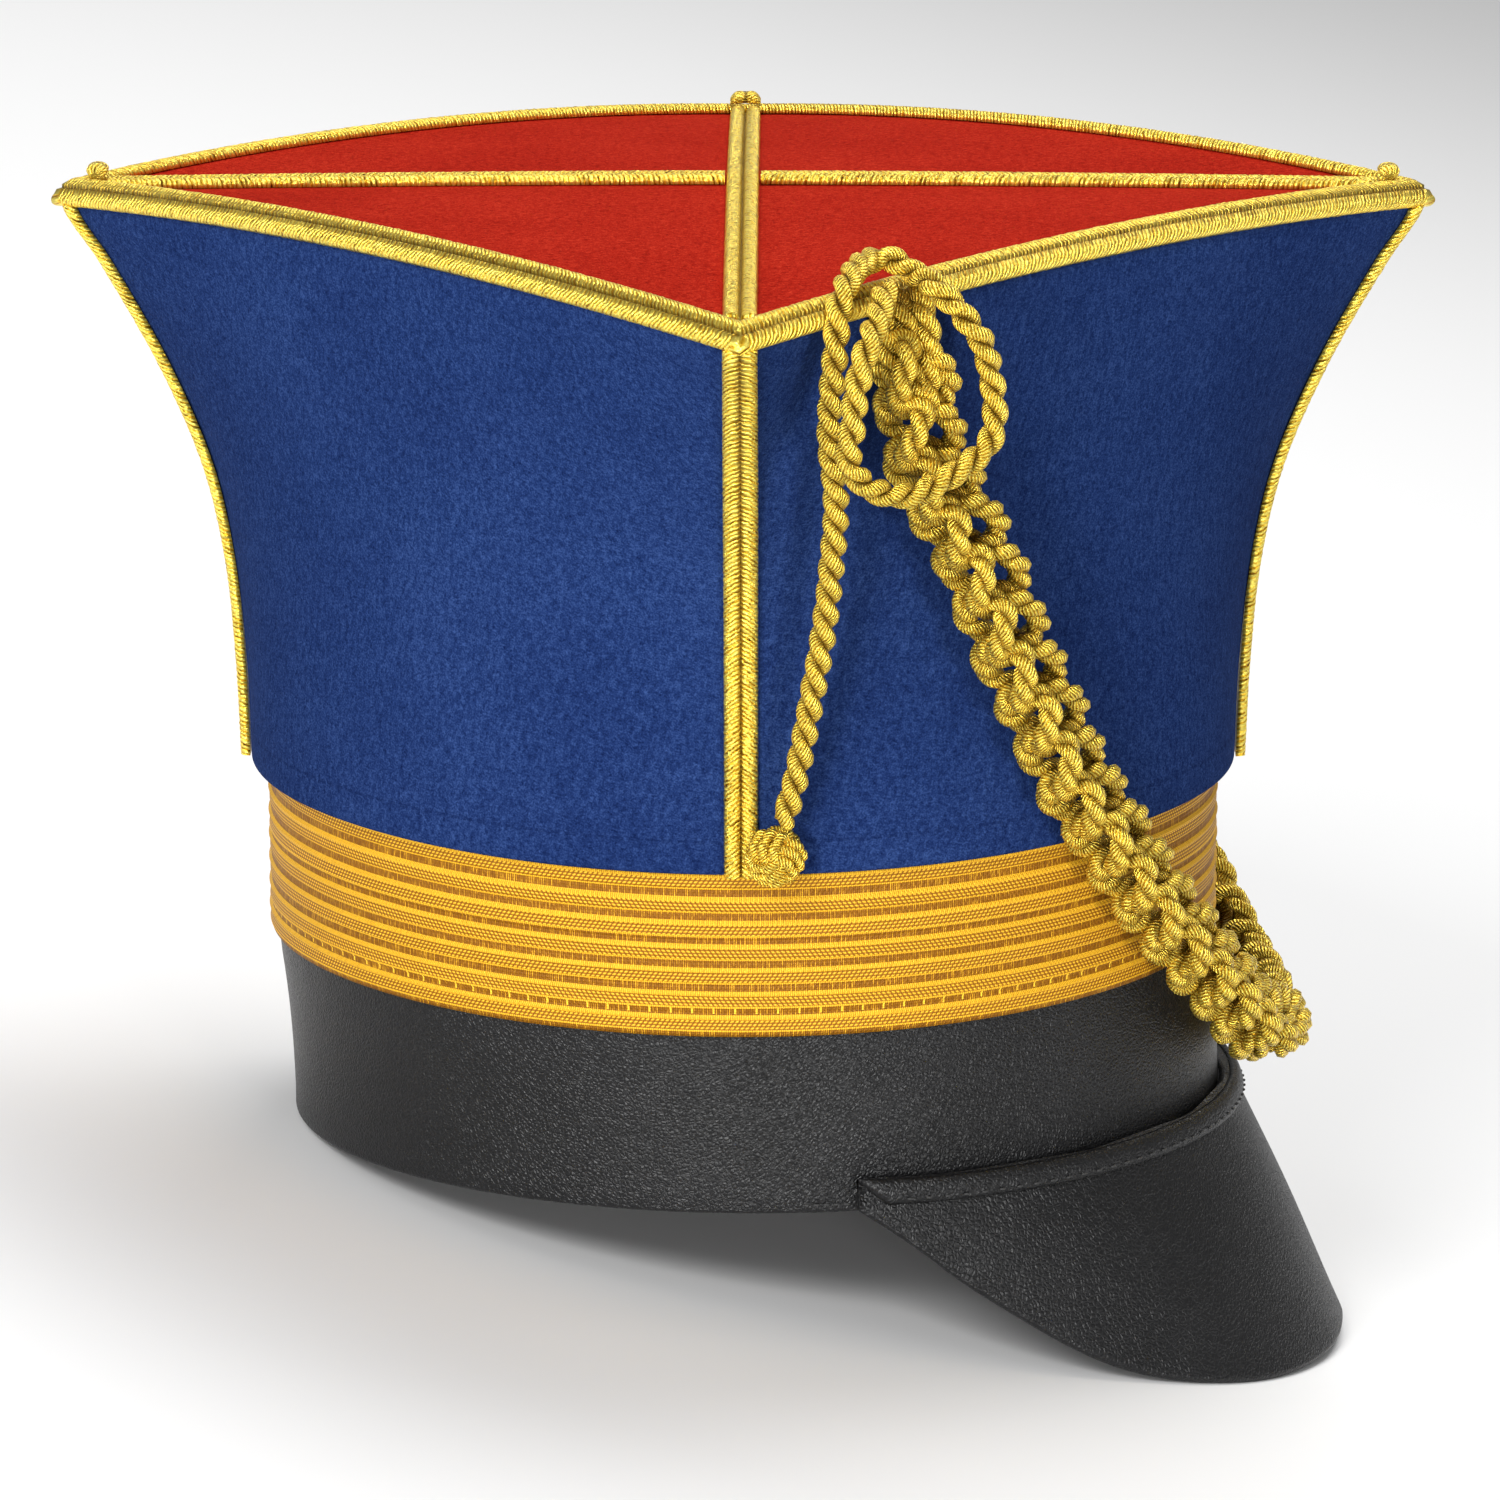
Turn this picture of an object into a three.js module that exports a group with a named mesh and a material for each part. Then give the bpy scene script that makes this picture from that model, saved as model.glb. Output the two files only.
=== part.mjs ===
// A square-topped shako: a waisted felt crown on a leather headband with a peak, trimmed with
// ribbed braid and hung with a twisted cord and a plaited festoon.
//
// Millimetres. The hat is drawn as it is worn, its front towards +X, its left towards +Y and the
// head opening in the plane z = 0. It is then laid down as it rests by itself: tilted back until
// the rear of the headband and the edge of the peak both meet the surface below.

import * as THREE from 'three';
import { mergeVertices } from 'three/addons/utils/BufferGeometryUtils.js';

// Room left between two pieces that lie on each other.
const GAP = 0.3;

// Headband: a wall of leather round the head, leaning a little forward at its lower rim.
const HEAD_LENGTH = 200;
const HEAD_WIDTH = 177;
const LEATHER_WALL = 2;
const LEATHER_SHOWN = 41;
const HEADBAND_LEAN = 3;
const HEADBAND_LEAN_POWER = 2;
const HEADBAND_TUCK = 8;

// Ribbon band: woven ribbon with raised ribs, between the bare leather and the felt.
const BAND_HEIGHT = 36;
const BAND_WALL = 1.2;
const BAND_RIBS = 7;
const RIB_HEIGHT = 0.6;
const BAND_SIDE_DIP = 3;

// Crown: four felt panels that run from an oval hem to a square rim.
const HEM_OFF_FRONT = 5.5;
const HEM_OFF_SIDE = 5;
const HEM_SIDE_DIP = 4;
const CROWN_HEIGHT = 122.3;
const SIDE_CORNER_DROP = 5.6;
const TOP_DIAGONAL = 287;
const FELT_WALL = 2;
const RIM_LIFT = 4.4;
const TOP_RISE = 1.4;

// Peak: a curved leather wall that leaves the headband above its lower rim.
const PEAK_HALF_ANGLE = THREE.MathUtils.degToRad(78);
const PEAK_SEAM = 7;
const PEAK_REACH = 26;
const PEAK_DROP = 56.5;
const PEAK_WALL = 2.4;
const WELT_WIDTH = 5.5;
const WELT_THICKNESS = 1.8;

// Braid: a flat band of two ridges with a groove between them.
const BRAID_WIDTH = 7;
const BRAID_THICKNESS = 2.1;
const ROLL_WIDTH = 4.6;
const ROLL_HEIGHT = 3;

// Twisted cord, its knot, and the plaited festoon.
const CORD_DIAMETER = 5.5;
const KNOT_WIDTH = 13;
const KNOT_DEPTH = 9;
const PLAIT_WIDTH = 17;
const PLAIT_THICKNESS = 10;

// How finely the curved surfaces are divided.
const EDGE_STEPS = 12;
const PANEL_ROWS = 9;
const LEATHER_ROWS = 3;
const PEAK_STEPS = 26;
const TOP_RINGS = 4;
const ROUND_STEPS = 12;
const CORD_SIDES = 8;
const CORD_STEPS = 64;
const PLAIT_SIDES = 12;
const PLAIT_STEPS = 36;
const KNOT_RINGS = 8;

// Corners of the triangles that lie nearer than this are one corner.
const SAME_CORNER = 1e-4;

// How far beside a place on the crown its direction is measured, in shares of a side.
const RIM_PROBE = 0.01;
const FLANK_PROBE = 0.02;

// The last place on a side that doesn't yet count as the next side.
const SIDE_END = 1 - 1e-9;

// How far the corners of the crown have flared out at each height between hem and rim.
const CORNER_FLARE = [
  { rise: 0.0, flare: 0.0 },
  { rise: 0.17, flare: 0.025 },
  { rise: 0.35, flare: 0.083 },
  { rise: 0.52, flare: 0.21 },
  { rise: 0.7, flare: 0.46 },
  { rise: 0.88, flare: 0.79 },
  { rise: 0.96, flare: 0.965 },
  { rise: 1.0, flare: 1.0 },
];

// The crown's section turns from the oval of the hem to a square: this share of the way at the
// rim, and less below by this power of the height.
const RIM_SQUARENESS = 0.95;
const SQUARENESS_POWER = 1.45;

// How round the red top is between its middle and its rim.
const TOP_DOME_POWER = 1.7;

// Outline of the peak from its middle to its end: how much of the drop and reach is left.
const PEAK_OUTLINE = [
  { turn: 0.0, drop: 1.0, reach: 1.0 },
  { turn: 0.2, drop: 0.99, reach: 0.955 },
  { turn: 0.4, drop: 0.94, reach: 0.81 },
  { turn: 0.615, drop: 0.78, reach: 0.48 },
  { turn: 0.83, drop: 0.43, reach: 0.2 },
  { turn: 0.92, drop: 0.25, reach: 0.13 },
  { turn: 1.0, drop: 0.11, reach: 0.09 },
];

// Places down the face of the peak, in shares of its length, and the share that its lip may take.
const PEAK_FACE = [0, 0.33, 0.67];
const LIP_SHARE = 0.25;

// The welt's section: how far down the peak and how proud of it, in shares of its own size.
const WELT_SECTION = [
  { down: 0.0, proud: 0.0 },
  { down: 0.0, proud: 0.5 },
  { down: 0.25, proud: 1.0 },
  { down: 0.67, proud: 0.8 },
  { down: 1.0, proud: 0.33 },
  { down: 1.0, proud: 0.0 },
];

// Half of the braid's section, from its edge to the groove in its middle.
const BRAID_HALF_SECTION = [
  { across: 1.0, proud: 0.0 },
  { across: 0.93, proud: 0.6 },
  { across: 0.55, proud: 1.0 },
  { across: 0.16, proud: 0.8 },
];
const GROOVE_PROUD = 0.45;

// The twisted cord's route from its knot up over the rim, down and up round its loop, to its end
// under the arch: corners passed from the front one, share of the crown's height, and the
// distance out from the felt in diameters of the cord.
const CORD_ROUTE = [
  { side: 3.05, rise: 0.105, off: 1.24 },
  { side: 3.065, rise: 0.2, off: 1.73 },
  { side: 3.08, rise: 0.325, off: 2.18 },
  { side: 3.095, rise: 0.45, off: 2.45 },
  { side: 3.105, rise: 0.575, off: 2.45 },
  { side: 3.11, rise: 0.68, off: 2.27 },
  { side: 3.105, rise: 0.805, off: 1.91 },
  { side: 3.115, rise: 0.935, off: 1.36 },
  { side: 3.125, rise: 1.02, off: 1.04 },
  { side: 3.14, rise: 1.045, off: 0.64 },
  { side: 3.155, rise: 1.055, off: 0.09 },
  { side: 3.175, rise: 1.055, off: -0.36 },
  { side: 3.19, rise: 1.055, off: -0.36 },
  { side: 3.205, rise: 1.05, off: 0 },
  { side: 3.22, rise: 1.035, off: 0.33 },
  { side: 3.23, rise: 1.02, off: 0.91 },
  { side: 3.235, rise: 1.015, off: 1.82 },
  { side: 3.25, rise: 0.985, off: 2.36 },
  { side: 3.26, rise: 0.95, off: 3.09 },
  { side: 3.27, rise: 0.915, off: 3.45 },
  { side: 3.275, rise: 0.865, off: 3.64 },
  { side: 3.275, rise: 0.82, off: 3.91 },
  { side: 3.27, rise: 0.775, off: 4.18 },
  { side: 3.255, rise: 0.745, off: 4.36 },
  { side: 3.23, rise: 0.725, off: 4.45 },
  { side: 3.205, rise: 0.705, off: 4.45 },
  { side: 3.18, rise: 0.695, off: 4.45 },
  { side: 3.15, rise: 0.705, off: 4.36 },
  { side: 3.125, rise: 0.735, off: 4.18 },
  { side: 3.115, rise: 0.78, off: 3.91 },
  { side: 3.12, rise: 0.825, off: 3.73 },
  { side: 3.125, rise: 0.87, off: 3.45 },
  { side: 3.135, rise: 0.93, off: 3.09 },
  { side: 3.15, rise: 0.97, off: 2.64 },
  { side: 3.17, rise: 1.005, off: 1.91 },
  { side: 3.18, rise: 1.025, off: 1.36 },
];

// Where the knot sits, beside the foot of the right corner's braid, its distance out in depths.
const KNOT_PLACE = { side: 3.04, rise: 0.045, off: 0.64 };

// The festoon's route from under the rim on the right to the middle of the front, below the hem,
// its distance out in thicknesses of the plait.
const PLAIT_ROUTE = [
  { side: 3.205, rise: 0.935, off: 0.56 },
  { side: 3.205, rise: 0.89, off: 0.9 },
  { side: 3.21, rise: 0.83, off: 1.15 },
  { side: 3.215, rise: 0.74, off: 1.35 },
  { side: 3.235, rise: 0.655, off: 1.6 },
  { side: 3.265, rise: 0.56, off: 1.8 },
  { side: 3.29, rise: 0.455, off: 1.9 },
  { side: 3.315, rise: 0.36, off: 1.8 },
  { side: 3.35, rise: 0.27, off: 1.6 },
  { side: 3.395, rise: 0.15, off: 1.25 },
  { side: 3.46, rise: 0.035, off: 0.95 },
  { side: 3.535, rise: -0.09, off: 0.83 },
  { side: 3.615, rise: -0.2, off: 0.83 },
  { side: 3.715, rise: -0.315, off: 0.85 },
  { side: 3.84, rise: -0.425, off: 0.9 },
  { side: 4, rise: -0.46, off: 0.95 },
];

const HEM_LENGTH = HEAD_LENGTH + 2 * HEM_OFF_FRONT;
const HEM_WIDTH = HEAD_WIDTH + 2 * HEM_OFF_SIDE;
const RIM_REACH = TOP_DIAGONAL / Math.sqrt(8);
const TOP_BRAID_END = TOP_DIAGONAL / 2 - (BRAID_WIDTH / 2) * (1 + Math.SQRT2) - 2 * GAP;
const BARE_LEATHER = LEATHER_SHOWN - BAND_SIDE_DIP;
const HEM_LEVEL = LEATHER_SHOWN + BAND_HEIGHT + GAP;
const RIM_LEVEL = HEM_LEVEL + CROWN_HEIGHT;
const UP = new THREE.Vector3(0, 0, 1);
const QUARTER = Math.PI / 2;

const FELT_BLUE = new THREE.MeshStandardMaterial({ color: 0x1d3a80, roughness: 0.95, metalness: 0 });
const FELT_RED = new THREE.MeshStandardMaterial({ color: 0xc4251a, roughness: 0.95, metalness: 0 });
const LEATHER = new THREE.MeshStandardMaterial({ color: 0x161617, roughness: 0.45, metalness: 0 });
const RIBBON = new THREE.MeshStandardMaterial({ color: 0xe8a010, roughness: 0.5, metalness: 0 });
const GILT = new THREE.MeshStandardMaterial({ color: 0xd9a92c, roughness: 0.4, metalness: 0.8 });

// Reads one column of a table at a place between its rows, along a smooth curve.
function tableValue(table, key, column, at) {
  const last = table.length - 1;
  let row = 0;
  while (row < last - 1 && table[row + 1][key] < at) row += 1;
  const before = table[Math.max(row - 1, 0)];
  const from = table[row];
  const to = table[row + 1];
  const after = table[Math.min(row + 2, last)];
  const width = to[key] - from[key];
  const share = (at - from[key]) / width;
  const slopeFrom = ((to[column] - before[column]) / (to[key] - before[key])) * width;
  const slopeTo = ((after[column] - from[column]) / (after[key] - from[key])) * width;
  const s2 = share * share;
  const s3 = s2 * share;
  return (2 * s3 - 3 * s2 + 1) * from[column] + (s3 - 2 * s2 + share) * slopeFrom
    + (3 * s2 - 2 * s3) * to[column] + (s3 - s2) * slopeTo;
}

// The volume that a list of triangles encloses, negative when they face inwards.
function signedVolume(triangles) {
  let volume = 0;
  for (const [a, b, c] of triangles) volume += a.dot(new THREE.Vector3().crossVectors(b, c)) / 6;
  return volume;
}

// A closed geometry from triangles: faces out, shared corners joined, collapsed triangles left out.
function geometryOf(triangles) {
  const turned = signedVolume(triangles) < 0;
  const corners = triangles.flatMap(([a, b, c]) => (turned ? [a, c, b] : [a, b, c]));
  const soup = new THREE.BufferGeometry().setFromPoints(corners);
  const joined = mergeVertices(soup, SAME_CORNER);
  const index = joined.getIndex().array;
  const kept = [];
  for (let i = 0; i < index.length; i += 3) {
    const [a, b, c] = [index[i], index[i + 1], index[i + 2]];
    if (a !== b && b !== c && c !== a) kept.push(a, b, c);
  }
  joined.setIndex(kept);
  joined.computeVertexNormals();
  return joined;
}

// The triangles that close one end of a loft, from a flat view of its outline.
function capTriangles(ring) {
  const normal = new THREE.Vector3();
  ring.forEach((point, i) => {
    normal.add(new THREE.Vector3().crossVectors(point, ring[(i + 1) % ring.length]));
  });
  const toFlat = new THREE.Quaternion().setFromUnitVectors(normal.normalize(), UP);
  const flat = ring.map((point) => {
    const turned = point.clone().applyQuaternion(toFlat);
    return new THREE.Vector2(turned.x, turned.y);
  });
  return THREE.ShapeUtils.triangulateShape(flat, []).map((face) => face.map((i) => ring[i]));
}

// The closed geometry of one of three's own shapes.
function solidOf(shape) {
  const places = (shape.getIndex() ? shape.toNonIndexed() : shape).getAttribute('position');
  const points = Array.from({ length: places.count }, (_, i) => new THREE.Vector3().fromBufferAttribute(places, i));
  const triangles = [];
  for (let i = 0; i < points.length; i += 3) triangles.push(points.slice(i, i + 3));
  return geometryOf(triangles);
}

// A solid through closed outlines, each with the same number of points, in a row or in a ring.
function loft(rings, inRing = false) {
  const triangles = [];
  const spans = inRing ? rings.length : rings.length - 1;
  for (let r = 0; r < spans; r += 1) {
    const here = rings[r];
    const next = rings[(r + 1) % rings.length];
    here.forEach((point, i) => {
      const j = (i + 1) % here.length;
      triangles.push([point, here[j], next[j]], [point, next[j], next[i]]);
    });
  }
  if (!inRing) {
    for (const face of capTriangles(rings[0])) triangles.push([face[0], face[2], face[1]]);
    triangles.push(...capTriangles(rings[rings.length - 1]));
  }
  return geometryOf(triangles);
}

// Even steps from one value to another, both included.
function steps(from, to, count) {
  return Array.from({ length: count + 1 }, (_, i) => from + ((to - from) * i) / count);
}

// A point on the headband's outside, at an angle from the front and a height above the rim.
function headbandPoint(angle, height, grow = 0) {
  const lean = HEADBAND_LEAN * Math.max(0, 1 - (height / BARE_LEATHER) ** HEADBAND_LEAN_POWER);
  return new THREE.Vector3(
    lean + (HEAD_LENGTH / 2 + grow) * Math.cos(angle),
    (HEAD_WIDTH / 2 + grow) * Math.sin(angle),
    height,
  );
}

// The level way out from the headband at an angle.
function headbandOut(angle) {
  const out = new THREE.Vector3(Math.cos(angle) / HEAD_LENGTH, Math.sin(angle) / HEAD_WIDTH, 0);
  return out.normalize();
}

// Height of the felt's lower edge, lower at the sides than in front.
function hemLevel(angle) {
  return HEM_LEVEL - HEM_SIDE_DIP * Math.sin(angle) ** 2;
}

// Height of the crown's rim: side counts the corners from the front one towards the left.
function rimLevel(side) {
  const share = side - Math.floor(side);
  const fromFront = Math.floor(side) % 2 === 0;
  const drop = SIDE_CORNER_DROP * (fromFront ? share : 1 - share);
  return RIM_LEVEL - drop + RIM_LIFT * 4 * share * (1 - share);
}

// A point on the crown's outside, or as far outside it as it has grown. The crown's section
// stays the same beyond its hem and its rim.
function crownPoint(side, rise, grow = 0) {
  const angle = side * QUARTER;
  const held = THREE.MathUtils.clamp(rise, 0, 1);
  const square = RIM_SQUARENESS * held ** SQUARENESS_POWER;
  const more = grow * (1 + (Math.SQRT2 - 1) * square);
  const flare = tableValue(CORNER_FLARE, 'rise', 'flare', held);
  const along = (HEM_LENGTH + (TOP_DIAGONAL - HEM_LENGTH) * flare) / 2 + more;
  const across = (HEM_WIDTH + (TOP_DIAGONAL - HEM_WIDTH) * flare) / 2 + more;
  const first = Math.floor(side) * QUARTER;
  const share = side - Math.floor(side);
  const onOval = new THREE.Vector3(along * Math.cos(angle), across * Math.sin(angle), 0);
  const from = new THREE.Vector3(along * Math.cos(first), across * Math.sin(first), 0);
  const corner = first + QUARTER;
  const to = new THREE.Vector3(along * Math.cos(corner), across * Math.sin(corner), 0);
  const point = onOval.lerp(from.lerp(to, share), square);
  point.z = THREE.MathUtils.lerp(hemLevel(angle), rimLevel(side), rise);
  return point;
}

// The rise that lies a length below the rim, measured straight down.
function riseBelowRim(side, length) {
  return 1 - length / (rimLevel(side) - hemLevel(side * QUARTER));
}

// A felt panel between two corners, with its lower edge turned in to meet the headband.
function panel(corner) {
  const inQuadrant = (point) => {
    const bisector = (corner + 0.5) * QUARTER;
    point.x = Math.sign(Math.cos(bisector)) * Math.max(Math.abs(point.x), GAP / 2);
    point.y = Math.sign(Math.sin(bisector)) * Math.max(Math.abs(point.y), GAP / 2);
    return point;
  };
  const rings = steps(0, 1, EDGE_STEPS).map((share) => {
    const side = corner + Math.min(share, SIDE_END);
    const angle = side * QUARTER;
    const top = riseBelowRim(side, FELT_WALL + GAP);
    const turnedIn = FELT_WALL / (rimLevel(side) - hemLevel(angle));
    const outside = steps(0, top, PANEL_ROWS).map((rise) => crownPoint(side, rise));
    const inside = steps(turnedIn, top, PANEL_ROWS).map((rise) => crownPoint(side, rise, -FELT_WALL));
    const tipOver = headbandPoint(angle, hemLevel(angle) + FELT_WALL, GAP);
    const tipUnder = headbandPoint(angle, hemLevel(angle), GAP);
    return [...outside, ...inside.reverse(), tipOver, tipUnder].map(inQuadrant);
  });
  return loft(rings);
}

// A point on the red top: share runs from its middle to its rim.
function topPoint(side, share, lift = 0) {
  const rim = crownPoint(side, 1);
  const middle = RIM_LEVEL + TOP_RISE;
  return new THREE.Vector3(
    rim.x * share,
    rim.y * share,
    middle + (rim.z - middle) * share ** TOP_DOME_POWER + lift,
  );
}

// The red felt top, its edge cut in line with the panels below.
function feltTop() {
  const rings = steps(0, 4, 4 * EDGE_STEPS).slice(0, -1).map((side) => {
    const over = steps(0, 1, TOP_RINGS).map((share) => topPoint(side, share));
    const under = over.map((point) => point.clone().setZ(point.z - FELT_WALL));
    under[TOP_RINGS] = crownPoint(side, riseBelowRim(side, FELT_WALL));
    return [...over, ...under.reverse()];
  });
  return loft(rings, true);
}

// The whole section of braid, edge to edge, with the middle of its back last.
function braidSection() {
  const half = BRAID_HALF_SECTION;
  const near = half.map((row) => ({ across: -row.across, proud: row.proud }));
  const far = half.map((row) => ({ across: row.across, proud: row.proud })).reverse();
  return [...near, { across: 0, proud: GROOVE_PROUD }, ...far, { across: 0, proud: 0 }];
}

// One outline of braid, each point put in place by how far across and how far off the cloth it is.
function braidRing(place) {
  return braidSection().map((row) => place((row.across * BRAID_WIDTH) / 2, GAP + row.proud * BRAID_THICKNESS));
}

// The level way out from the crown at the rim, straight out of the corner on a corner.
function rimOut(side) {
  const before = crownPoint((side + 4 - RIM_PROBE) % 4, 1);
  const after = crownPoint((side + RIM_PROBE) % 4, 1);
  return new THREE.Vector3(after.y - before.y, before.x - after.x, 0).normalize();
}

// Braid round the rim: one ridge on the red top, the other on the panels.
function rimBraid() {
  const rings = steps(0, 4, 4 * EDGE_STEPS).slice(0, -1).map((side) => {
    const edge = crownPoint(side, 1);
    const out = rimOut(side);
    const down = crownPoint(side, riseBelowRim(side, BRAID_WIDTH / 2)).sub(edge).normalize();
    const away = out.clone().addScaledVector(down, -out.dot(down)).normalize();
    const mitre = Number.isInteger(side) ? Math.SQRT2 : 1;
    return braidRing((across, off) => {
      const point = edge.clone();
      if (across < 0) return topPoint(side, 1 + across / RIM_REACH, off);
      if (across > 0) return point.addScaledVector(down, across).addScaledVector(away, off * mitre);
      return point.addScaledVector(UP, off).addScaledVector(away, off * mitre);
    });
  });
  return loft(rings, true);
}

// Braid down one corner of the crown, from the rim's braid to the hem.
function cornerBraid(corner) {
  const top = riseBelowRim(corner, BRAID_WIDTH / 2 + GAP);
  const out = new THREE.Vector3(Math.cos(corner * QUARTER), Math.sin(corner * QUARTER), 0);
  const rings = steps(0, top, PANEL_ROWS).map((rise) => {
    const edge = crownPoint(corner, rise);
    const flank = (sign) => {
      const beside = crownPoint((corner + sign * FLANK_PROBE + 4) % 4, rise).sub(edge).setZ(0).normalize();
      const off = new THREE.Vector3(beside.y, -beside.x, 0).multiplyScalar(sign);
      return { beside, off };
    };
    const left = flank(1);
    const right = flank(-1);
    return braidRing((across, off) => {
      const point = edge.clone();
      if (across > 0) return point.addScaledVector(left.beside, across).addScaledVector(left.off, off);
      if (across < 0) return point.addScaledVector(right.beside, -across).addScaledVector(right.off, off);
      return point.addScaledVector(out, off / left.off.dot(out));
    });
  });
  return loft(rings);
}

// A length of braid on the red top, between two distances from its middle along one diagonal.
function topBraid(corner, from, to) {
  const out = new THREE.Vector3(Math.cos(corner * QUARTER), Math.sin(corner * QUARTER), 0);
  const sideways = new THREE.Vector3(-out.y, out.x, 0);
  const count = Math.max(2, Math.round(((to - from) / TOP_DIAGONAL) * 2 * EDGE_STEPS));
  const rings = steps(from, to, count).map((reach) => {
    const place = Math.abs(reach) / (TOP_DIAGONAL / 2);
    const middle = topPoint(reach < 0 ? (corner + 2) % 4 : corner, place);
    return braidRing((across, off) => {
      const point = middle.clone().addScaledVector(sideways, across);
      return point.setZ(middle.z + off);
    });
  });
  return loft(rings);
}

// The folded end of a braid on the top: a small roll lying across the rim's braid in the corner.
function cornerRoll(corner) {
  const reach = TOP_DIAGONAL / 2 - BRAID_WIDTH;
  const seat = topPoint(corner, reach / (TOP_DIAGONAL / 2));
  const radius = ROLL_HEIGHT / 2;
  const roll = new THREE.CylinderGeometry(radius, radius, BRAID_WIDTH, ROUND_STEPS);
  roll.scale(ROLL_WIDTH / ROLL_HEIGHT, 1, 1);
  roll.rotateZ(corner * QUARTER);
  roll.translate(seat.x, seat.y, seat.z + BRAID_THICKNESS + 2 * GAP + radius);
  return solidOf(roll);
}

// The leather headband, square at its lower rim and running up inside the felt.
function headband() {
  const top = HEM_LEVEL + HEADBAND_TUCK;
  const levels = [...steps(0, BARE_LEATHER, LEATHER_ROWS), top];
  const rings = steps(0, 2 * Math.PI, 4 * EDGE_STEPS).slice(0, -1).map((angle) => {
    const outside = levels.map((level) => headbandPoint(angle, level));
    const inside = levels.map((level) => headbandPoint(angle, level, -LEATHER_WALL));
    return [...outside, ...inside.reverse()];
  });
  return loft(rings, true);
}

// The ribbon band: its outside rises and falls over the ribs.
function ribbonBand() {
  const rings = steps(0, 2 * Math.PI, 4 * EDGE_STEPS).slice(0, -1).map((angle) => {
    const low = LEATHER_SHOWN - BAND_SIDE_DIP * Math.sin(angle) ** 2;
    const high = hemLevel(angle) - GAP;
    const outside = steps(low, high, 2 * BAND_RIBS).map((level, i) => {
      const rib = i % 2 === 1 ? RIB_HEIGHT : 0;
      return headbandPoint(angle, level, GAP + BAND_WALL + rib).setZ(level);
    });
    const inside = [high, low].map((level) => headbandPoint(angle, level, GAP));
    return [...outside, ...inside];
  });
  return loft(rings, true);
}

// The line of the peak at one angle: where it leaves the headband, its edge, and its way out.
function peakRib(turn) {
  const angle = turn * PEAK_HALF_ANGLE;
  const out = headbandOut(angle);
  const at = Math.abs(turn);
  const reach = PEAK_REACH * tableValue(PEAK_OUTLINE, 'turn', 'reach', at);
  const drop = PEAK_DROP * tableValue(PEAK_OUTLINE, 'turn', 'drop', at);
  const seam = headbandPoint(angle, PEAK_SEAM, GAP);
  const edge = seam.clone().addScaledVector(out, reach).addScaledVector(UP, -drop);
  const fall = edge.clone().sub(seam);
  const length = fall.length();
  fall.normalize();
  const off = out.clone().addScaledVector(fall, -out.dot(fall)).normalize();
  return { seam, fall, off, length };
}

// The peak: a straight-sided wall with a rounded lip.
function peak() {
  const rings = steps(-1, 1, PEAK_STEPS).map((turn) => {
    const { seam, fall, off, length } = peakRib(turn);
    const at = (down, thick) => seam.clone().addScaledVector(fall, down).addScaledVector(off, thick);
    const lip = Math.min(PEAK_WALL / 2, length * LIP_SHARE);
    const downs = [...PEAK_FACE.map((share) => share * length), length - lip];
    const face = downs.map((down) => at(down, PEAK_WALL));
    const back = downs.map((down) => at(down, 0));
    return [...face, at(length, PEAK_WALL / 2), ...back.reverse()];
  });
  return loft(rings);
}

// The welt: a folded strip of leather along the top edge of the peak.
function peakWelt() {
  const rings = steps(-1, 1, PEAK_STEPS).map((turn) => {
    const { seam, fall, off, length } = peakRib(turn);
    const width = Math.min(WELT_WIDTH, length);
    return WELT_SECTION.map((row) => seam.clone()
      .addScaledVector(fall, row.down * width)
      .addScaledVector(off, PEAK_WALL + GAP + row.proud * WELT_THICKNESS));
  });
  return loft(rings);
}

// The point of a route that one of its rows names, for a cord of a thickness.
function routePoint({ side, rise, off }, thickness) {
  return crownPoint(side, rise, off * thickness);
}

// The twisted cord, as a plain round cord.
function cord() {
  const route = new THREE.CatmullRomCurve3(CORD_ROUTE.map((row) => routePoint(row, CORD_DIAMETER)));
  const outline = new THREE.Shape();
  outline.absarc(0, 0, CORD_DIAMETER / 2, 0, 2 * Math.PI);
  return solidOf(new THREE.ExtrudeGeometry(outline, {
    curveSegments: CORD_SIDES / 2,
    steps: CORD_STEPS,
    extrudePath: route,
  }));
}

// The level way out from the crown's oval at a point near it.
function ovalOut(point) {
  return new THREE.Vector3(point.x / HEM_LENGTH ** 2, point.y / HEM_WIDTH ** 2, 0).normalize();
}

// The cord's knot: a flattened ball against the cloth.
function cordKnot() {
  const place = routePoint(KNOT_PLACE, KNOT_DEPTH);
  const ball = new THREE.SphereGeometry(KNOT_WIDTH / 2, ROUND_STEPS, KNOT_RINGS);
  ball.scale(1, 1, KNOT_DEPTH / KNOT_WIDTH);
  ball.applyQuaternion(new THREE.Quaternion().setFromUnitVectors(UP, ovalOut(place)));
  ball.translate(place.x, place.y, place.z);
  return solidOf(ball);
}

// The plaited festoon as one flat bundle, hung alike on both sides of the front.
function festoon() {
  const right = PLAIT_ROUTE.map((row) => routePoint(row, PLAIT_THICKNESS));
  const left = right.slice(0, -1).map((point) => new THREE.Vector3(point.x, -point.y, point.z));
  const route = new THREE.CatmullRomCurve3([...right, ...left.reverse()]);
  const turns = steps(0, 2 * Math.PI, PLAIT_SIDES).slice(0, -1);
  const rings = steps(0, 1, PLAIT_STEPS).map((share) => {
    const middle = route.getPointAt(share);
    const along = route.getTangentAt(share);
    const out = ovalOut(middle);
    out.addScaledVector(along, -out.dot(along)).normalize();
    const across = new THREE.Vector3().crossVectors(along, out);
    return turns.map((turn) => middle.clone()
      .addScaledVector(across, (Math.cos(turn) * PLAIT_WIDTH) / 2)
      .addScaledVector(out, (Math.sin(turn) * PLAIT_THICKNESS) / 2));
  });
  return loft(rings);
}

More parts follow.
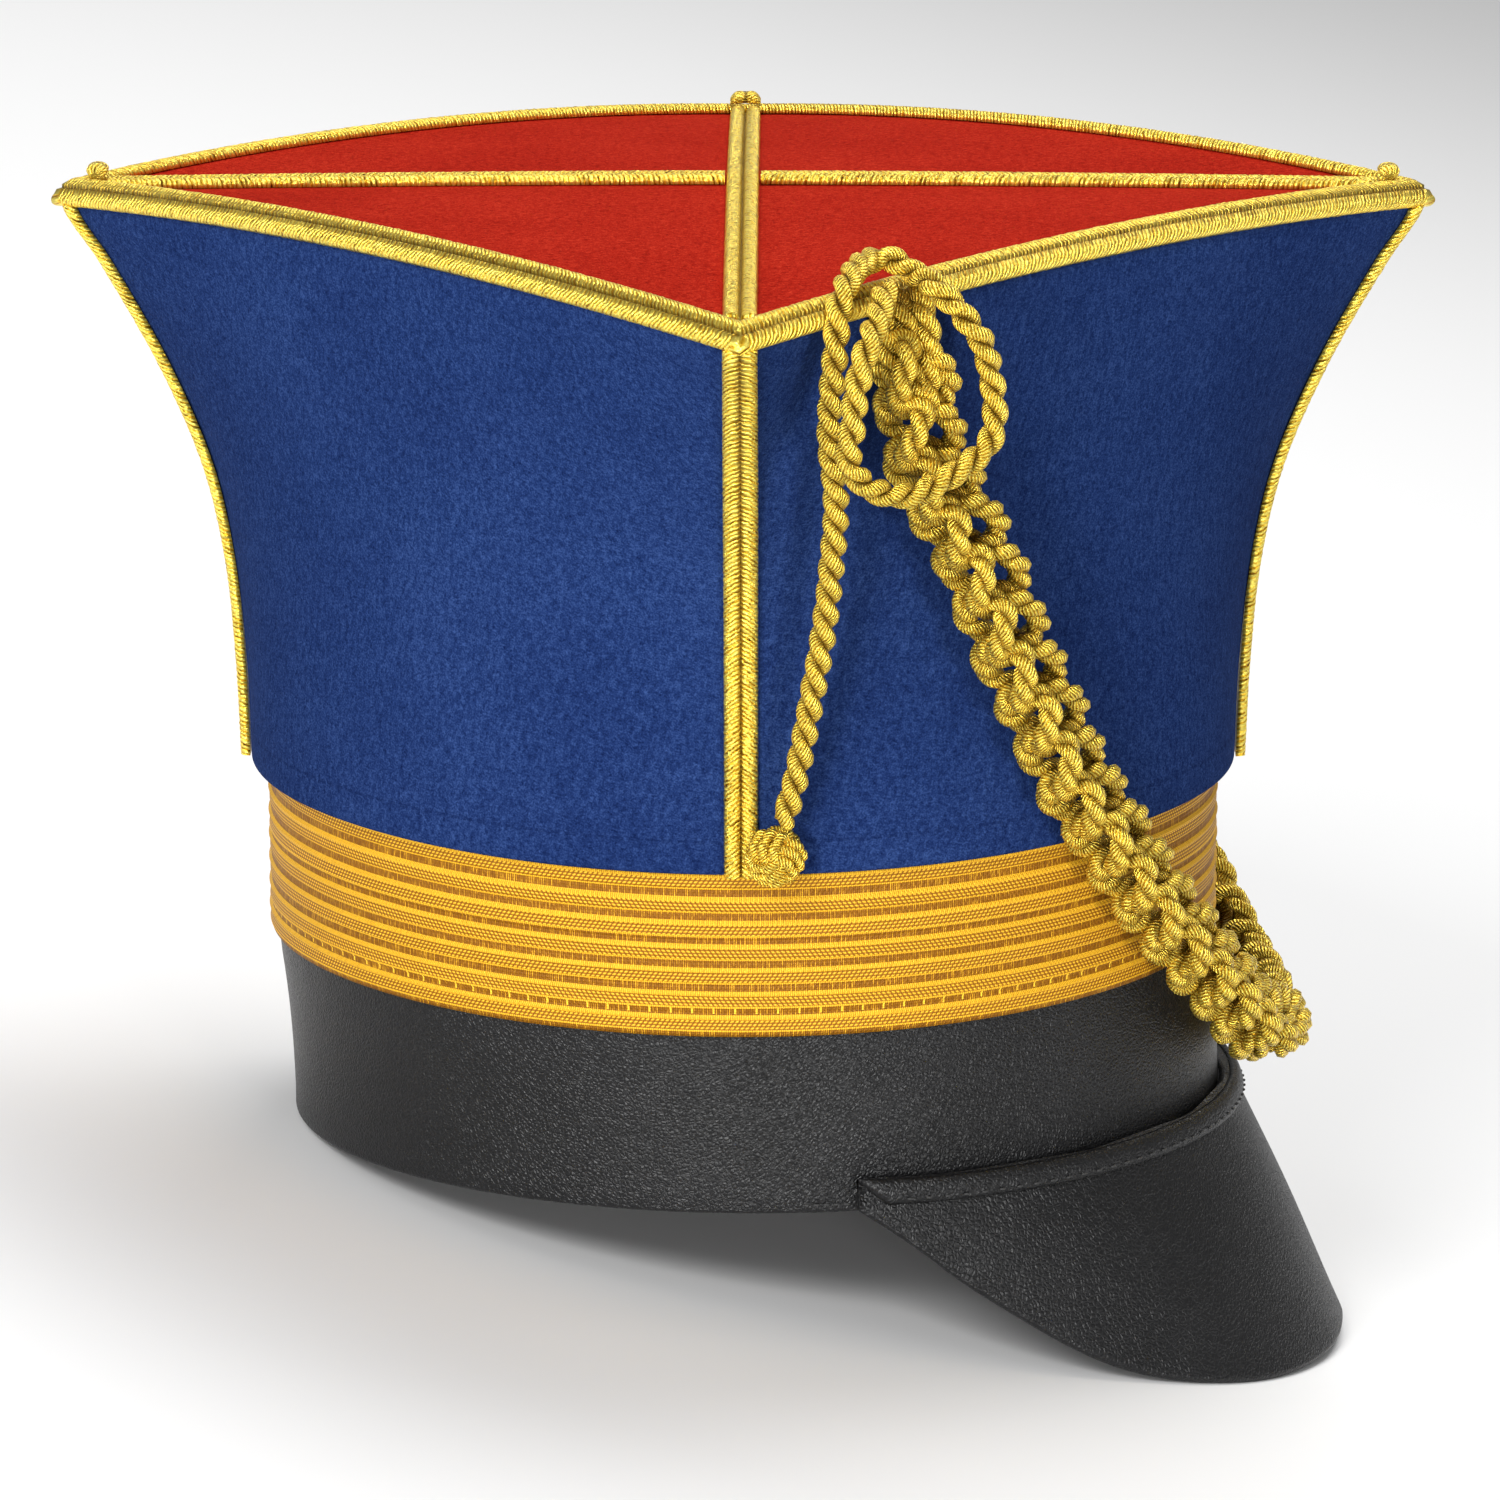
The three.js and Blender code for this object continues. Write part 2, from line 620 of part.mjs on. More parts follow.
// How far the hat tilts back to rest: the steepest line from the rear of the rim to the peak.
function restTilt(peakGeometry) {
  const rear = headbandPoint(Math.PI, 0);
  const places = peakGeometry.getAttribute('position');
  let tilt = 0;
  for (let i = 0; i < places.count; i += 1) {
    tilt = Math.max(tilt, Math.atan2(rear.z - places.getZ(i), places.getX(i) - rear.x));
  }
  return tilt;
}

const hat = new THREE.Group();

function add(parent, name, geometry, material) {
  const mesh = new THREE.Mesh(geometry, material);
  mesh.name = name;
  parent.add(mesh);
}

const CORNER_NAMES = ['front', 'left', 'rear', 'right'];
const PANEL_NAMES = ['front_left', 'rear_left', 'rear_right', 'front_right'];

PANEL_NAMES.forEach((name, corner) => add(hat, `felt_panel_${name}`, panel(corner), FELT_BLUE));
add(hat, 'felt_top', feltTop(), FELT_RED);
add(hat, 'rim_braid', rimBraid(), GILT);
CORNER_NAMES.forEach((name, corner) => add(hat, `corner_braid_${name}`, cornerBraid(corner), GILT));

const CROSSING = BRAID_WIDTH / 2 + GAP;
add(hat, 'top_braid_side', topBraid(1, -TOP_BRAID_END, TOP_BRAID_END), GILT);
add(hat, 'top_braid_front', topBraid(0, CROSSING, TOP_BRAID_END), GILT);
add(hat, 'top_braid_rear', topBraid(2, CROSSING, TOP_BRAID_END), GILT);
[0, 1, 2].forEach((corner) => add(hat, `braid_roll_${CORNER_NAMES[corner]}`, cornerRoll(corner), GILT));

add(hat, 'headband', headband(), LEATHER);
add(hat, 'ribbon_band', ribbonBand(), RIBBON);
const peakGeometry = peak();
add(hat, 'peak', peakGeometry, LEATHER);
add(hat, 'peak_welt', peakWelt(), LEATHER);

// Laid down: tilted back, its box standing on z = 0 with the middle of its base at the origin.
hat.rotation.y = -restTilt(peakGeometry);
hat.updateMatrixWorld(true);
const box = new THREE.Box3().setFromObject(hat, true);
hat.position.set(-(box.min.x + box.max.x) / 2, -(box.min.y + box.max.y) / 2, -box.min.z);

// The cords hang on the hat as it lies.
const cords = new THREE.Group();
add(cords, 'twisted_cord', cord(), GILT);
add(cords, 'cord_knot', cordKnot(), GILT);
add(cords, 'plaited_festoon', festoon(), GILT);
hat.add(cords);

const shako = new THREE.Group();
shako.add(hat);

export default shako;
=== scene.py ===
"""The looks of a square-topped shako: felt crown, gilt braid, ribbon, leather, cord and festoon.

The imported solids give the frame. Every piece here is drawn in the hat's own frame, its front
towards +X, its left towards +Y and its head opening at z = 0, and is then laid where the solids
lie: tilted back, as the hat rests by itself.
"""

import logging
import math
from dataclasses import dataclass
from enum import Enum
from typing import Callable, Sequence

import bmesh
import bpy
from mathutils import Matrix, Vector, kdtree, noise


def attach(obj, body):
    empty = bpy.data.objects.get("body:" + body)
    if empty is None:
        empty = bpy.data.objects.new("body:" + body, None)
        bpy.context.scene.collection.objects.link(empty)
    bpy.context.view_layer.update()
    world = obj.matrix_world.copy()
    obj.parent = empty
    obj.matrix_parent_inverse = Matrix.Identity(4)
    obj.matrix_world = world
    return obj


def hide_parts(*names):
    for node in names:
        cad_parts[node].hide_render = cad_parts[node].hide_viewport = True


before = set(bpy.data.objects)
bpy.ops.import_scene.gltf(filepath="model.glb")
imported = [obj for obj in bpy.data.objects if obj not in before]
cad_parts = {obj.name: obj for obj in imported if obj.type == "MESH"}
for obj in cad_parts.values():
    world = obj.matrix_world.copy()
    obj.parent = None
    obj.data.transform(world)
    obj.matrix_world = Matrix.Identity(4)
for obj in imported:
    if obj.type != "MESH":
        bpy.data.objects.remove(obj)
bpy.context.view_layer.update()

LOG = logging.getLogger("shako")
MM = 0.001
HAIR = 1e-6
QUARTER = math.pi / 2
UP = Vector((0.0, 0.0, 1.0))
Point = tuple[float, float, float]


class Corner(Enum):
    """The crown's corners, counted from the front one towards the wearer's left."""

    FRONT = 0
    LEFT = 1
    REAR = 2
    RIGHT = 3

    @property
    def out(self) -> Vector:
        """The level way from the hat's middle to the corner."""
        return Vector((math.cos(self.value * QUARTER), math.sin(self.value * QUARTER), 0))

    @property
    def sideways(self) -> Vector:
        """The level way square to the way out."""
        return Vector((-self.out.y, self.out.x, 0))


def lerp(start: float, end: float, share: float) -> float:
    """The value a share of the way from start to end."""
    return start + (end - start) * share


def bump(at: float, middle: float, reach: float) -> float:
    """A smooth bump of height 1 round a middle."""
    return math.exp(-(((at - middle) / reach) ** 2))


def smooth_table(rows: Sequence[tuple[float, float]], at: float) -> float:
    """Reads a table of (place, value) rows at a place between them, along a smooth curve.

    Args:
        rows: the table, its places rising.
        at: the place to read.

    Returns:
        The value there.
    """
    last = len(rows) - 1
    row = 0
    while row < last - 1 and rows[row + 1][0] < at:
        row += 1
    before, start, end, after = (
        rows[max(row - 1, 0)], rows[row], rows[row + 1], rows[min(row + 2, last)],
    )
    width = end[0] - start[0]
    t = (at - start[0]) / width
    slope_start = (end[1] - before[1]) / (end[0] - before[0]) * width
    slope_end = (after[1] - start[1]) / (after[0] - start[0]) * width
    t2, t3 = t * t, t * t * t
    return (
        (2 * t3 - 3 * t2 + 1) * start[1] + (t3 - 2 * t2 + t) * slope_start
        + (3 * t2 - 2 * t3) * end[1] + (t3 - t2) * slope_end
    )


@dataclass(frozen=True)
class HatForm:
    """The hat's main surfaces as formulas, in millimetres in its own frame."""

    head_length: float = 200.0
    head_width: float = 177.0
    lean: float = 3.0
    bare_leather: float = 38.0
    leather_shown: float = 41.0
    band_side_dip: float = 3.0
    hem_length: float = 211.0
    hem_width: float = 187.0
    hem_level: float = 77.3
    hem_side_dip: float = 4.0
    crown_height: float = 122.3
    side_corner_drop: float = 5.6
    rim_lift: float = 4.4
    top_diagonal: float = 287.0
    top_rise: float = 1.4
    squareness: float = 0.95
    squareness_power: float = 1.45
    dome_power: float = 1.7
    gap: float = 0.3
    flare: tuple[tuple[float, float], ...] = (
        (0.0, 0.0), (0.17, 0.025), (0.35, 0.083), (0.52, 0.21),
        (0.7, 0.46), (0.88, 0.79), (0.96, 0.965), (1.0, 1.0),
    )

    @property
    def rim_level(self) -> float:
        """Height of the crown's front and rear corners."""
        return self.hem_level + self.crown_height

    def hem(self, angle: float) -> float:
        """Height of the felt's lower edge at an angle from the front."""
        return self.hem_level - self.hem_side_dip * math.sin(angle) ** 2

    def rim(self, side: float) -> float:
        """Height of the rim, which rises a little between the corners.

        Args:
            side: place round the crown, counted in corners from the front one.

        Returns:
            The height.
        """
        share = side - math.floor(side)
        from_front = math.floor(side) % 2 == 0
        drop = self.side_corner_drop * (share if from_front else 1 - share)
        return self.rim_level - drop + self.rim_lift * 4 * share * (1 - share)

    def crown(self, side: float, rise: float, grow: float = 0.0) -> Vector:
        """A point on the crown's outside, or a distance outside it.

        Args:
            side: place round the crown, counted in corners from the front one.
            rise: share of the way up from the hem to the rim.
            grow: distance outwards.

        Returns:
            The point.
        """
        angle = side * QUARTER
        held = min(max(rise, 0.0), 1.0)
        square = self.squareness * held ** self.squareness_power
        # A distance square to a flat side is longer along the diagonal.
        more = grow * (1 + (math.sqrt(2) - 1) * square)
        flare = smooth_table(self.flare, held)
        along = lerp(self.hem_length, self.top_diagonal, flare) / 2 + more
        across = lerp(self.hem_width, self.top_diagonal, flare) / 2 + more
        first = math.floor(side) * QUARTER
        share = side - math.floor(side)
        ends = [
            Vector((along * math.cos(turn), across * math.sin(turn), 0))
            for turn in (angle, first, first + QUARTER)
        ]
        point = ends[0].lerp(ends[1].lerp(ends[2], share), square)
        point.z = lerp(self.hem(angle), self.rim(side), rise)
        return point

    def below_rim(self, side: float, length: float) -> float:
        """The rise that lies a length straight below the rim."""
        return 1 - length / (self.rim(side) - self.hem(side * QUARTER))

    def top(self, side: float, share: float, lift: float = 0.0) -> Vector:
        """A point on the red top, or a distance above it.

        Args:
            side: place round the crown, counted in corners from the front one.
            share: share of the way from the top's middle to its rim.
            lift: distance above it.

        Returns:
            The point.
        """
        rim = self.crown(side, 1.0)
        middle = self.rim_level + self.top_rise
        return Vector((
            rim.x * share,
            rim.y * share,
            middle + (rim.z - middle) * share ** self.dome_power + lift,
        ))

    def headband(self, angle: float, height: float, grow: float = 0.0) -> Vector:
        """A point on the headband's outside, or a distance outside it."""
        lean = self.lean * max(0.0, 1 - (height / self.bare_leather) ** 2)
        return Vector((
            lean + (self.head_length / 2 + grow) * math.cos(angle),
            (self.head_width / 2 + grow) * math.sin(angle),
            height,
        ))

    def headband_out(self, angle: float) -> Vector:
        """The level way out from the headband at an angle."""
        way = Vector((math.cos(angle) / self.head_length, math.sin(angle) / self.head_width, 0))
        return way.normalized()

    def oval_out(self, point: Vector) -> Vector:
        """The level way out from the crown's oval at a point near it."""
        return Vector((point.x / self.hem_length ** 2, point.y / self.hem_width ** 2, 0)).normalized()


@dataclass(frozen=True)
class HatPose:
    """Where the hat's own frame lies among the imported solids."""

    matrix: Matrix

    @classmethod
    def from_solids(cls, form: HatForm) -> "HatPose":
        """Finds the pose from the front and rear tips of the felt top.

        Args:
            form: the hat's form, which says where those tips are in its own frame.

        Returns:
            The pose, which takes millimetres in the hat's frame to metres among the solids.
        """
        places = [vertex.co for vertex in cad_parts["felt_top"].data.vertices]
        farthest = max(place.x for place in places)
        tip = [place for place in places if farthest - place.x < 3 * MM]
        front = max(tip, key=lambda place: place.z)
        rear = min(places, key=lambda place: place.x)
        tilt = math.atan2(front.z - rear.z, front.x - rear.x)
        turn = Matrix.Rotation(-tilt, 4, "Y")
        scaled = turn @ Matrix.Scale(MM, 4)
        tips = scaled @ Vector((form.top_diagonal / 2, 0, form.rim_level))
        return cls(Matrix.Translation(front - tips) @ scaled)


@dataclass
class Studio:
    """A plain pale floor, soft light and a camera at the photograph's angle to the hat.

    A lamp's row holds its name, its place and its side in metres, and its power in watts.
    """

    pose: HatPose
    distance: float = 1728.0
    elevation: float = math.radians(13.2)
    azimuth: float = math.radians(0.2)
    aim: Point = (1.5, 0.0, 77.8)
    lens: float = 192.84
    sensor: float = 36.0
    farthest: float = 50.0
    floor_size: float = 12.0
    floor_grey: float = 0.86
    sky_strength: float = 0.36
    lit_height: float = 0.12
    lamps: tuple[tuple[str, Point, float, float], ...] = (
        ("main_lamp", (-0.85, -1.7, 1.15), 0.7, 28.0),
        ("front_lamp", (-0.8, -2.2, 0.18), 0.45, 36.0),
        ("side_lamp", (1.0, -2.1, 0.14), 0.35, 22.0),
        ("top_lamp", (0.1, 0.9, 2.1), 1.4, 38.0),
    )

    def camera(self) -> None:
        """Places the camera as it looked at the hat, whichever way the hat lies."""
        back = Vector((
            math.sin(self.azimuth) * math.cos(self.elevation),
            -math.cos(self.azimuth) * math.cos(self.elevation),
            math.sin(self.elevation),
        ))
        right = Vector((math.cos(self.azimuth), math.sin(self.azimuth), 0.0))
        above = back.cross(right)
        eye = Vector(self.aim) + back * self.distance
        turn = self.pose.matrix.to_3x3().normalized() @ Matrix((right, above, back)).transposed()
        data = bpy.data.cameras.new("camera")
        data.lens = self.lens
        data.sensor_width = self.sensor
        data.clip_end = self.farthest
        camera = bpy.data.objects.new("camera", data)
        camera.matrix_world = Matrix.Translation(self.pose.matrix @ eye) @ turn.to_4x4()
        bpy.context.scene.collection.objects.link(camera)
        bpy.context.scene.camera = camera

    def lamp(self, name: str, place: Point, size: float, power: float) -> None:
        """Adds a soft lamp that faces the hat.

        Args:
            name: the lamp's name.
            place: where it stands, in metres from the origin.
            size: its side, in metres.
            power: its power in watts.
        """
        data = bpy.data.lights.new(name, "AREA")
        data.size = size
        data.energy = power
        lamp = bpy.data.objects.new(name, data)
        lamp.location = place
        way = Vector((0, 0, self.lit_height)) - Vector(place)
        lamp.rotation_euler = way.to_track_quat("-Z", "Y").to_euler()
        bpy.context.scene.collection.objects.link(lamp)

    def floor(self) -> None:
        """Lays the pale floor."""
        bm = bmesh.new()
        bmesh.ops.create_grid(bm, x_segments=1, y_segments=1, size=self.floor_size / 2)
        mesh = bpy.data.meshes.new("floor")
        bm.to_mesh(mesh)
        bm.free()
        floor = bpy.data.objects.new("floor", mesh)
        paper = bpy.data.materials.new("white_paper")
        paper.use_nodes = True
        shader = paper.node_tree.nodes["Principled BSDF"]
        shader.inputs["Base Color"].default_value = (*[self.floor_grey] * 3, 1)
        shader.inputs["Roughness"].default_value = 0.9
        shader.inputs["Specular IOR Level"].default_value = 0.1
        mesh.materials.append(paper)
        bpy.context.scene.collection.objects.link(floor)

    def light(self) -> None:
        """Lights the hat with a pale sky and the lamps."""
        world = bpy.data.worlds.new("sky")
        world.use_nodes = True
        background = world.node_tree.nodes["Background"]
        background.inputs["Color"].default_value = (1, 1, 1, 1)
        background.inputs["Strength"].default_value = self.sky_strength
        bpy.context.scene.world = world
        bpy.context.scene.view_settings.view_transform = "Standard"
        for row in self.lamps:
            self.lamp(*row)


class Shader:
    """A material's nodes, added and joined in a few words."""

    def __init__(self, name: str) -> None:
        """Starts a material with one Principled shader."""
        self.material = bpy.data.materials.new(name)
        self.material.use_nodes = True
        self.tree = self.material.node_tree
        self.surface = self.tree.nodes["Principled BSDF"]
        self.uv = self.add("ShaderNodeUVMap", uv_map="UVMap").outputs["UV"]
        self.place = self.add("ShaderNodeTexCoord").outputs["Object"]

    def add(self, kind: str, **settings: object) -> bpy.types.Node:
        """Adds a node.

        Args:
            kind: the node's type.
            settings: its options.

        Returns:
            The node.
        """
        node = self.tree.nodes.new(kind)
        for name, value in settings.items():
            setattr(node, name, value)
        return node

    def join(self, value: object, socket: bpy.types.NodeSocket) -> None:
        """Links an output to a socket, or sets a plain value on it.

        Args:
            value: the output or the value.
            socket: the socket.
        """
        if isinstance(value, bpy.types.NodeSocket):
            self.tree.links.new(value, socket)
        else:
            socket.default_value = value

    def math(self, operation: str, *values: object) -> bpy.types.NodeSocket:
        """Works out a Math node.

        Args:
            operation: what it does.
            values: its inputs, outputs of other nodes or numbers.

        Returns:
            The result.
        """
        node = self.add("ShaderNodeMath", operation=operation)
        for value, socket in zip(values, node.inputs):
            self.join(value, socket)
        return node.outputs[0]

    def total(self, *terms: tuple[object, float]) -> bpy.types.NodeSocket:
        """Adds up values, each with its weight.

        Args:
            terms: the values and their weights.

        Returns:
            The sum.
        """
        *others, last = terms
        result = self.math("MULTIPLY", *last)
        for value, weight in reversed(others):
            result = self.math("MULTIPLY_ADD", value, weight, result)
        return result

    def noise(self, scale: float, detail: float = 2.0, stretch: Point = (1, 1, 1),
              on: object = None, output: str = "Fac") -> bpy.types.NodeSocket:
        """Noise on the piece's own place, or on other coordinates.

        Args:
            scale: how many grains to a unit of the coordinates.
            detail: how many finer layers.
            stretch: how much tighter along each axis.
            on: the coordinates, Object ones if None.
            output: which output of the node.

        Returns:
            The noise, about 0 to 1.
        """
        mapping = self.add("ShaderNodeMapping")
        self.join(self.place if on is None else on, mapping.inputs["Vector"])
        mapping.inputs["Scale"].default_value = stretch
        node = self.add("ShaderNodeTexNoise")
        self.join(mapping.outputs[0], node.inputs["Vector"])
        node.inputs["Scale"].default_value = scale
        node.inputs["Detail"].default_value = detail
        return node.outputs[output]

    def across_and_along(self) -> tuple[bpy.types.NodeSocket, bpy.types.NodeSocket]:
        """Splits the piece's UV map.

        Returns:
            The millimetres across the piece and along it.
        """
        split = self.add("ShaderNodeSeparateXYZ")
        self.join(self.uv, split.inputs[0])
        return split.outputs["X"], split.outputs["Y"]

    def wave(self, phase: bpy.types.NodeSocket, period: float) -> bpy.types.NodeSocket:
        """A smooth wave from 0 to 1 with a period in the phase's own units."""
        turn = self.math("MULTIPLY", phase, 2 * math.pi / period)
        return self.math("MULTIPLY_ADD", self.math("SINE", turn), 0.5, 0.5)

    def ramp(self, value: object, *stops: tuple[float, Point]) -> bpy.types.NodeSocket:
        """Colours along a value.

        Args:
            value: the value, from 0 to 1.
            stops: places from 0 to 1, each with its colour.

        Returns:
            The colour.
        """
        node = self.add("ShaderNodeValToRGB")
        self.join(value, node.inputs["Fac"])
        line = node.color_ramp.elements
        while len(line) < len(stops):
            line.new(0.5)
        for element, (place, colour) in zip(line, stops):
            element.position = place
            element.color = (*colour, 1)
        return node.outputs["Color"]

    def blend(self, share: object, first: object, second: object) -> bpy.types.NodeSocket:
        """A mix of two colours.

        Args:
            share: how much of the second.
            first: the first colour.
            second: the second colour.

        Returns:
            The mixed colour.
        """
        node = self.add("ShaderNodeMix", data_type="RGBA")
        self.join(share, node.inputs[0])
        self.join(first, node.inputs[6])
        self.join(second, node.inputs[7])
        return node.outputs[2]

    def relief(self, height: object, depth: float, strength: float = 1.0,
               below: object = None) -> bpy.types.NodeSocket:
        """Surface relief.

        Args:
            height: the height, from 0 to 1.
            depth: what a height of 1 stands for, in metres.
            strength: how strongly it shows.
            below: the relief that it lies on.

        Returns:
            The surface's way out.
        """
        node = self.add("ShaderNodeBump")
        node.inputs["Strength"].default_value = strength
        node.inputs["Distance"].default_value = depth
        self.join(height, node.inputs["Height"])
        if below is not None:
            self.join(below, node.inputs["Normal"])
        return node.outputs["Normal"]

    def finish(self, colour: object, roughness: object, relief: object = None,
               **sockets: object) -> bpy.types.Material:
        """Sets the shader's sockets.

        Args:
            colour: its colour.
            roughness: its roughness.
            relief: its surface relief.
            sockets: any other socket, with _ for each space in its name.

        Returns:
            The material.
        """
        self.join(colour, self.surface.inputs["Base Color"])
        self.join(roughness, self.surface.inputs["Roughness"])
        if relief is not None:
            self.join(relief, self.surface.inputs["Normal"])
        for name, value in sockets.items():
            self.join(value, self.surface.inputs[name.replace("_", " ")])
        return self.material


@dataclass(frozen=True)
class Felt:
    """Wool felt: a soft nap of fine fibres, some paler than the rest."""

    name: str
    deep: Point
    shade: Point
    pale: Point
    stitched: bool = False
    stitch_height: float = 6.2
    stitch_period: float = 3.4
    stitch_thickness: float = 0.66
    groove_width: float = 1.4
    nap_depth: float = 0.5 * MM
    stitch_depth: float = 0.4 * MM

    def material(self) -> bpy.types.Material:
        """Makes the felt's material.

        Returns:
            The material.
        """
        s = Shader(self.name)
        nap = s.noise(2700, 4.0)
        streaks = s.total((s.noise(1000, 3.0, (1, 1, 0.4)), 0.5), (s.noise(1300, 3.0, (0.45, 1, 1.3)), 0.5))
        clouds = s.noise(26, 3.0)
        value = s.total((nap, 0.45), (streaks, 0.45), (clouds, 0.1))
        colour = s.ramp(value, (0.36, self.deep), (0.5, self.shade), (0.64, self.pale))
        relief = s.relief(value, self.nap_depth, 0.7)
        if self.stitched:
            across, along = s.across_and_along()
            off_line = s.math("ABSOLUTE", s.math("SUBTRACT", along, self.stitch_height))
            on_line = s.math("LESS_THAN", off_line, self.stitch_thickness / 2)
            on_dash = s.math("GREATER_THAN", s.wave(across, self.stitch_period), 0.28)
            thread = s.math("MULTIPLY", on_line, on_dash)
            beside = s.math("SUBTRACT", 1.0, s.math("LESS_THAN", off_line, self.groove_width / 2))
            height = s.total((thread, 0.7), (beside, 0.6))
            relief = s.relief(height, self.stitch_depth, 0.7, relief)
            colour = s.blend(s.math("MULTIPLY", thread, 0.4), colour, (*self.deep, 1))
        return s.finish(colour, 0.96, relief, Sheen_Weight=0.06, Sheen_Roughness=0.6,
                        Sheen_Tint=(*self.pale, 1), Specular_IOR_Level=0.02)


class Lay(Enum):
    """How gilt thread is laid."""

    BRAIDED = "slanting away from a groove along the middle"
    WOUND = "slanting one way round a cord"


@dataclass(frozen=True)
class GiltThread:
    """Gilt thread, painted darker between its threads and brighter on them, with painted glints; each fibre
    also has its own brightness.

    Fields: the thread's thickness and its wander in millimetres, its slant, how even it is from 0 to 1,
    and the contrast and the middle of its brightness.
    """

    name: str
    lay: Lay
    thread: float
    slant: float
    evenness: float
    wander: float
    contrast: float
    level: float
    usual: float = 0.74
    groove_width: float = 1.4
    depth: float = 0.42 * MM
    # The colour of painted shade in grooves, between plies and deep in the plait.
    painted_shade_colour: Point = (0.13, 0.055, 0.001)
    # Colours from painted shade between the threads to painted highlight on them.
    colours: tuple[tuple[float, Point], ...] = (
        (0.2, (0.08, 0.030, 0.001)), (0.4, (0.52, 0.25, 0.006)),
        (0.56, (1.0, 0.60, 0.030)), (0.78, (1.0, 0.81, 0.14)),
    )

    def material(self) -> bpy.types.Material:
        """Makes the thread's material.

        Returns:
            The material.
        """
        s = Shader(self.name)
        across, along = s.across_and_along()
        braided = self.lay is Lay.BRAIDED
        lead = s.math("ABSOLUTE", across) if braided else across
        wander = s.math("MULTIPLY", s.noise(0.9, 2.0, on=s.uv), self.wander)
        phase = s.math("ADD", s.math("MULTIPLY_ADD", lead, self.slant, along), wander)
        line = s.add("ShaderNodeCombineXYZ")
        s.join(s.math("MULTIPLY", across, 0.35), line.inputs["X"])
        s.join(phase, line.inputs["Y"])
        fibres = s.noise(1.55 / self.thread, 2.0, on=line.outputs[0])
        threads = s.wave(phase, self.thread)
        # Painted glints, which also roughen the relief.
        glint_and_bump_noise = s.noise(2.7, 3.0, on=s.uv)
        value = s.total((threads, self.evenness), (fibres, 1.0 - self.evenness), (glint_and_bump_noise, 0.6))
        value = s.math("MULTIPLY_ADD", s.math("SUBTRACT", value, self.usual), self.contrast, self.level)
        # Painted shade and highlight: darker where the threads dip, brighter on their crests and glints.
        colour = s.ramp(value, *self.colours)
        # Painted shade along the braid's middle groove, or as much as the cord's mesh marks between its plies
        # and deep in the plait; the colour is blended towards the painted shade colour.
        if braided:
            off_groove = s.math("DIVIDE", lead, self.groove_width / 2)
            painted_shade = s.math("SUBTRACT", 1.0, s.math("MINIMUM", off_groove, 1.0))
        else:
            painted_shade = s.add("ShaderNodeAttribute", attribute_name="painted_shade").outputs["Fac"]
        colour = s.blend(s.math("MULTIPLY", painted_shade, 0.88), colour, (*self.painted_shade_colour, 1))
        relief = s.relief(value, self.depth)
        return s.finish(colour, 0.29, relief, Metallic=0.8, Specular_IOR_Level=0.4)


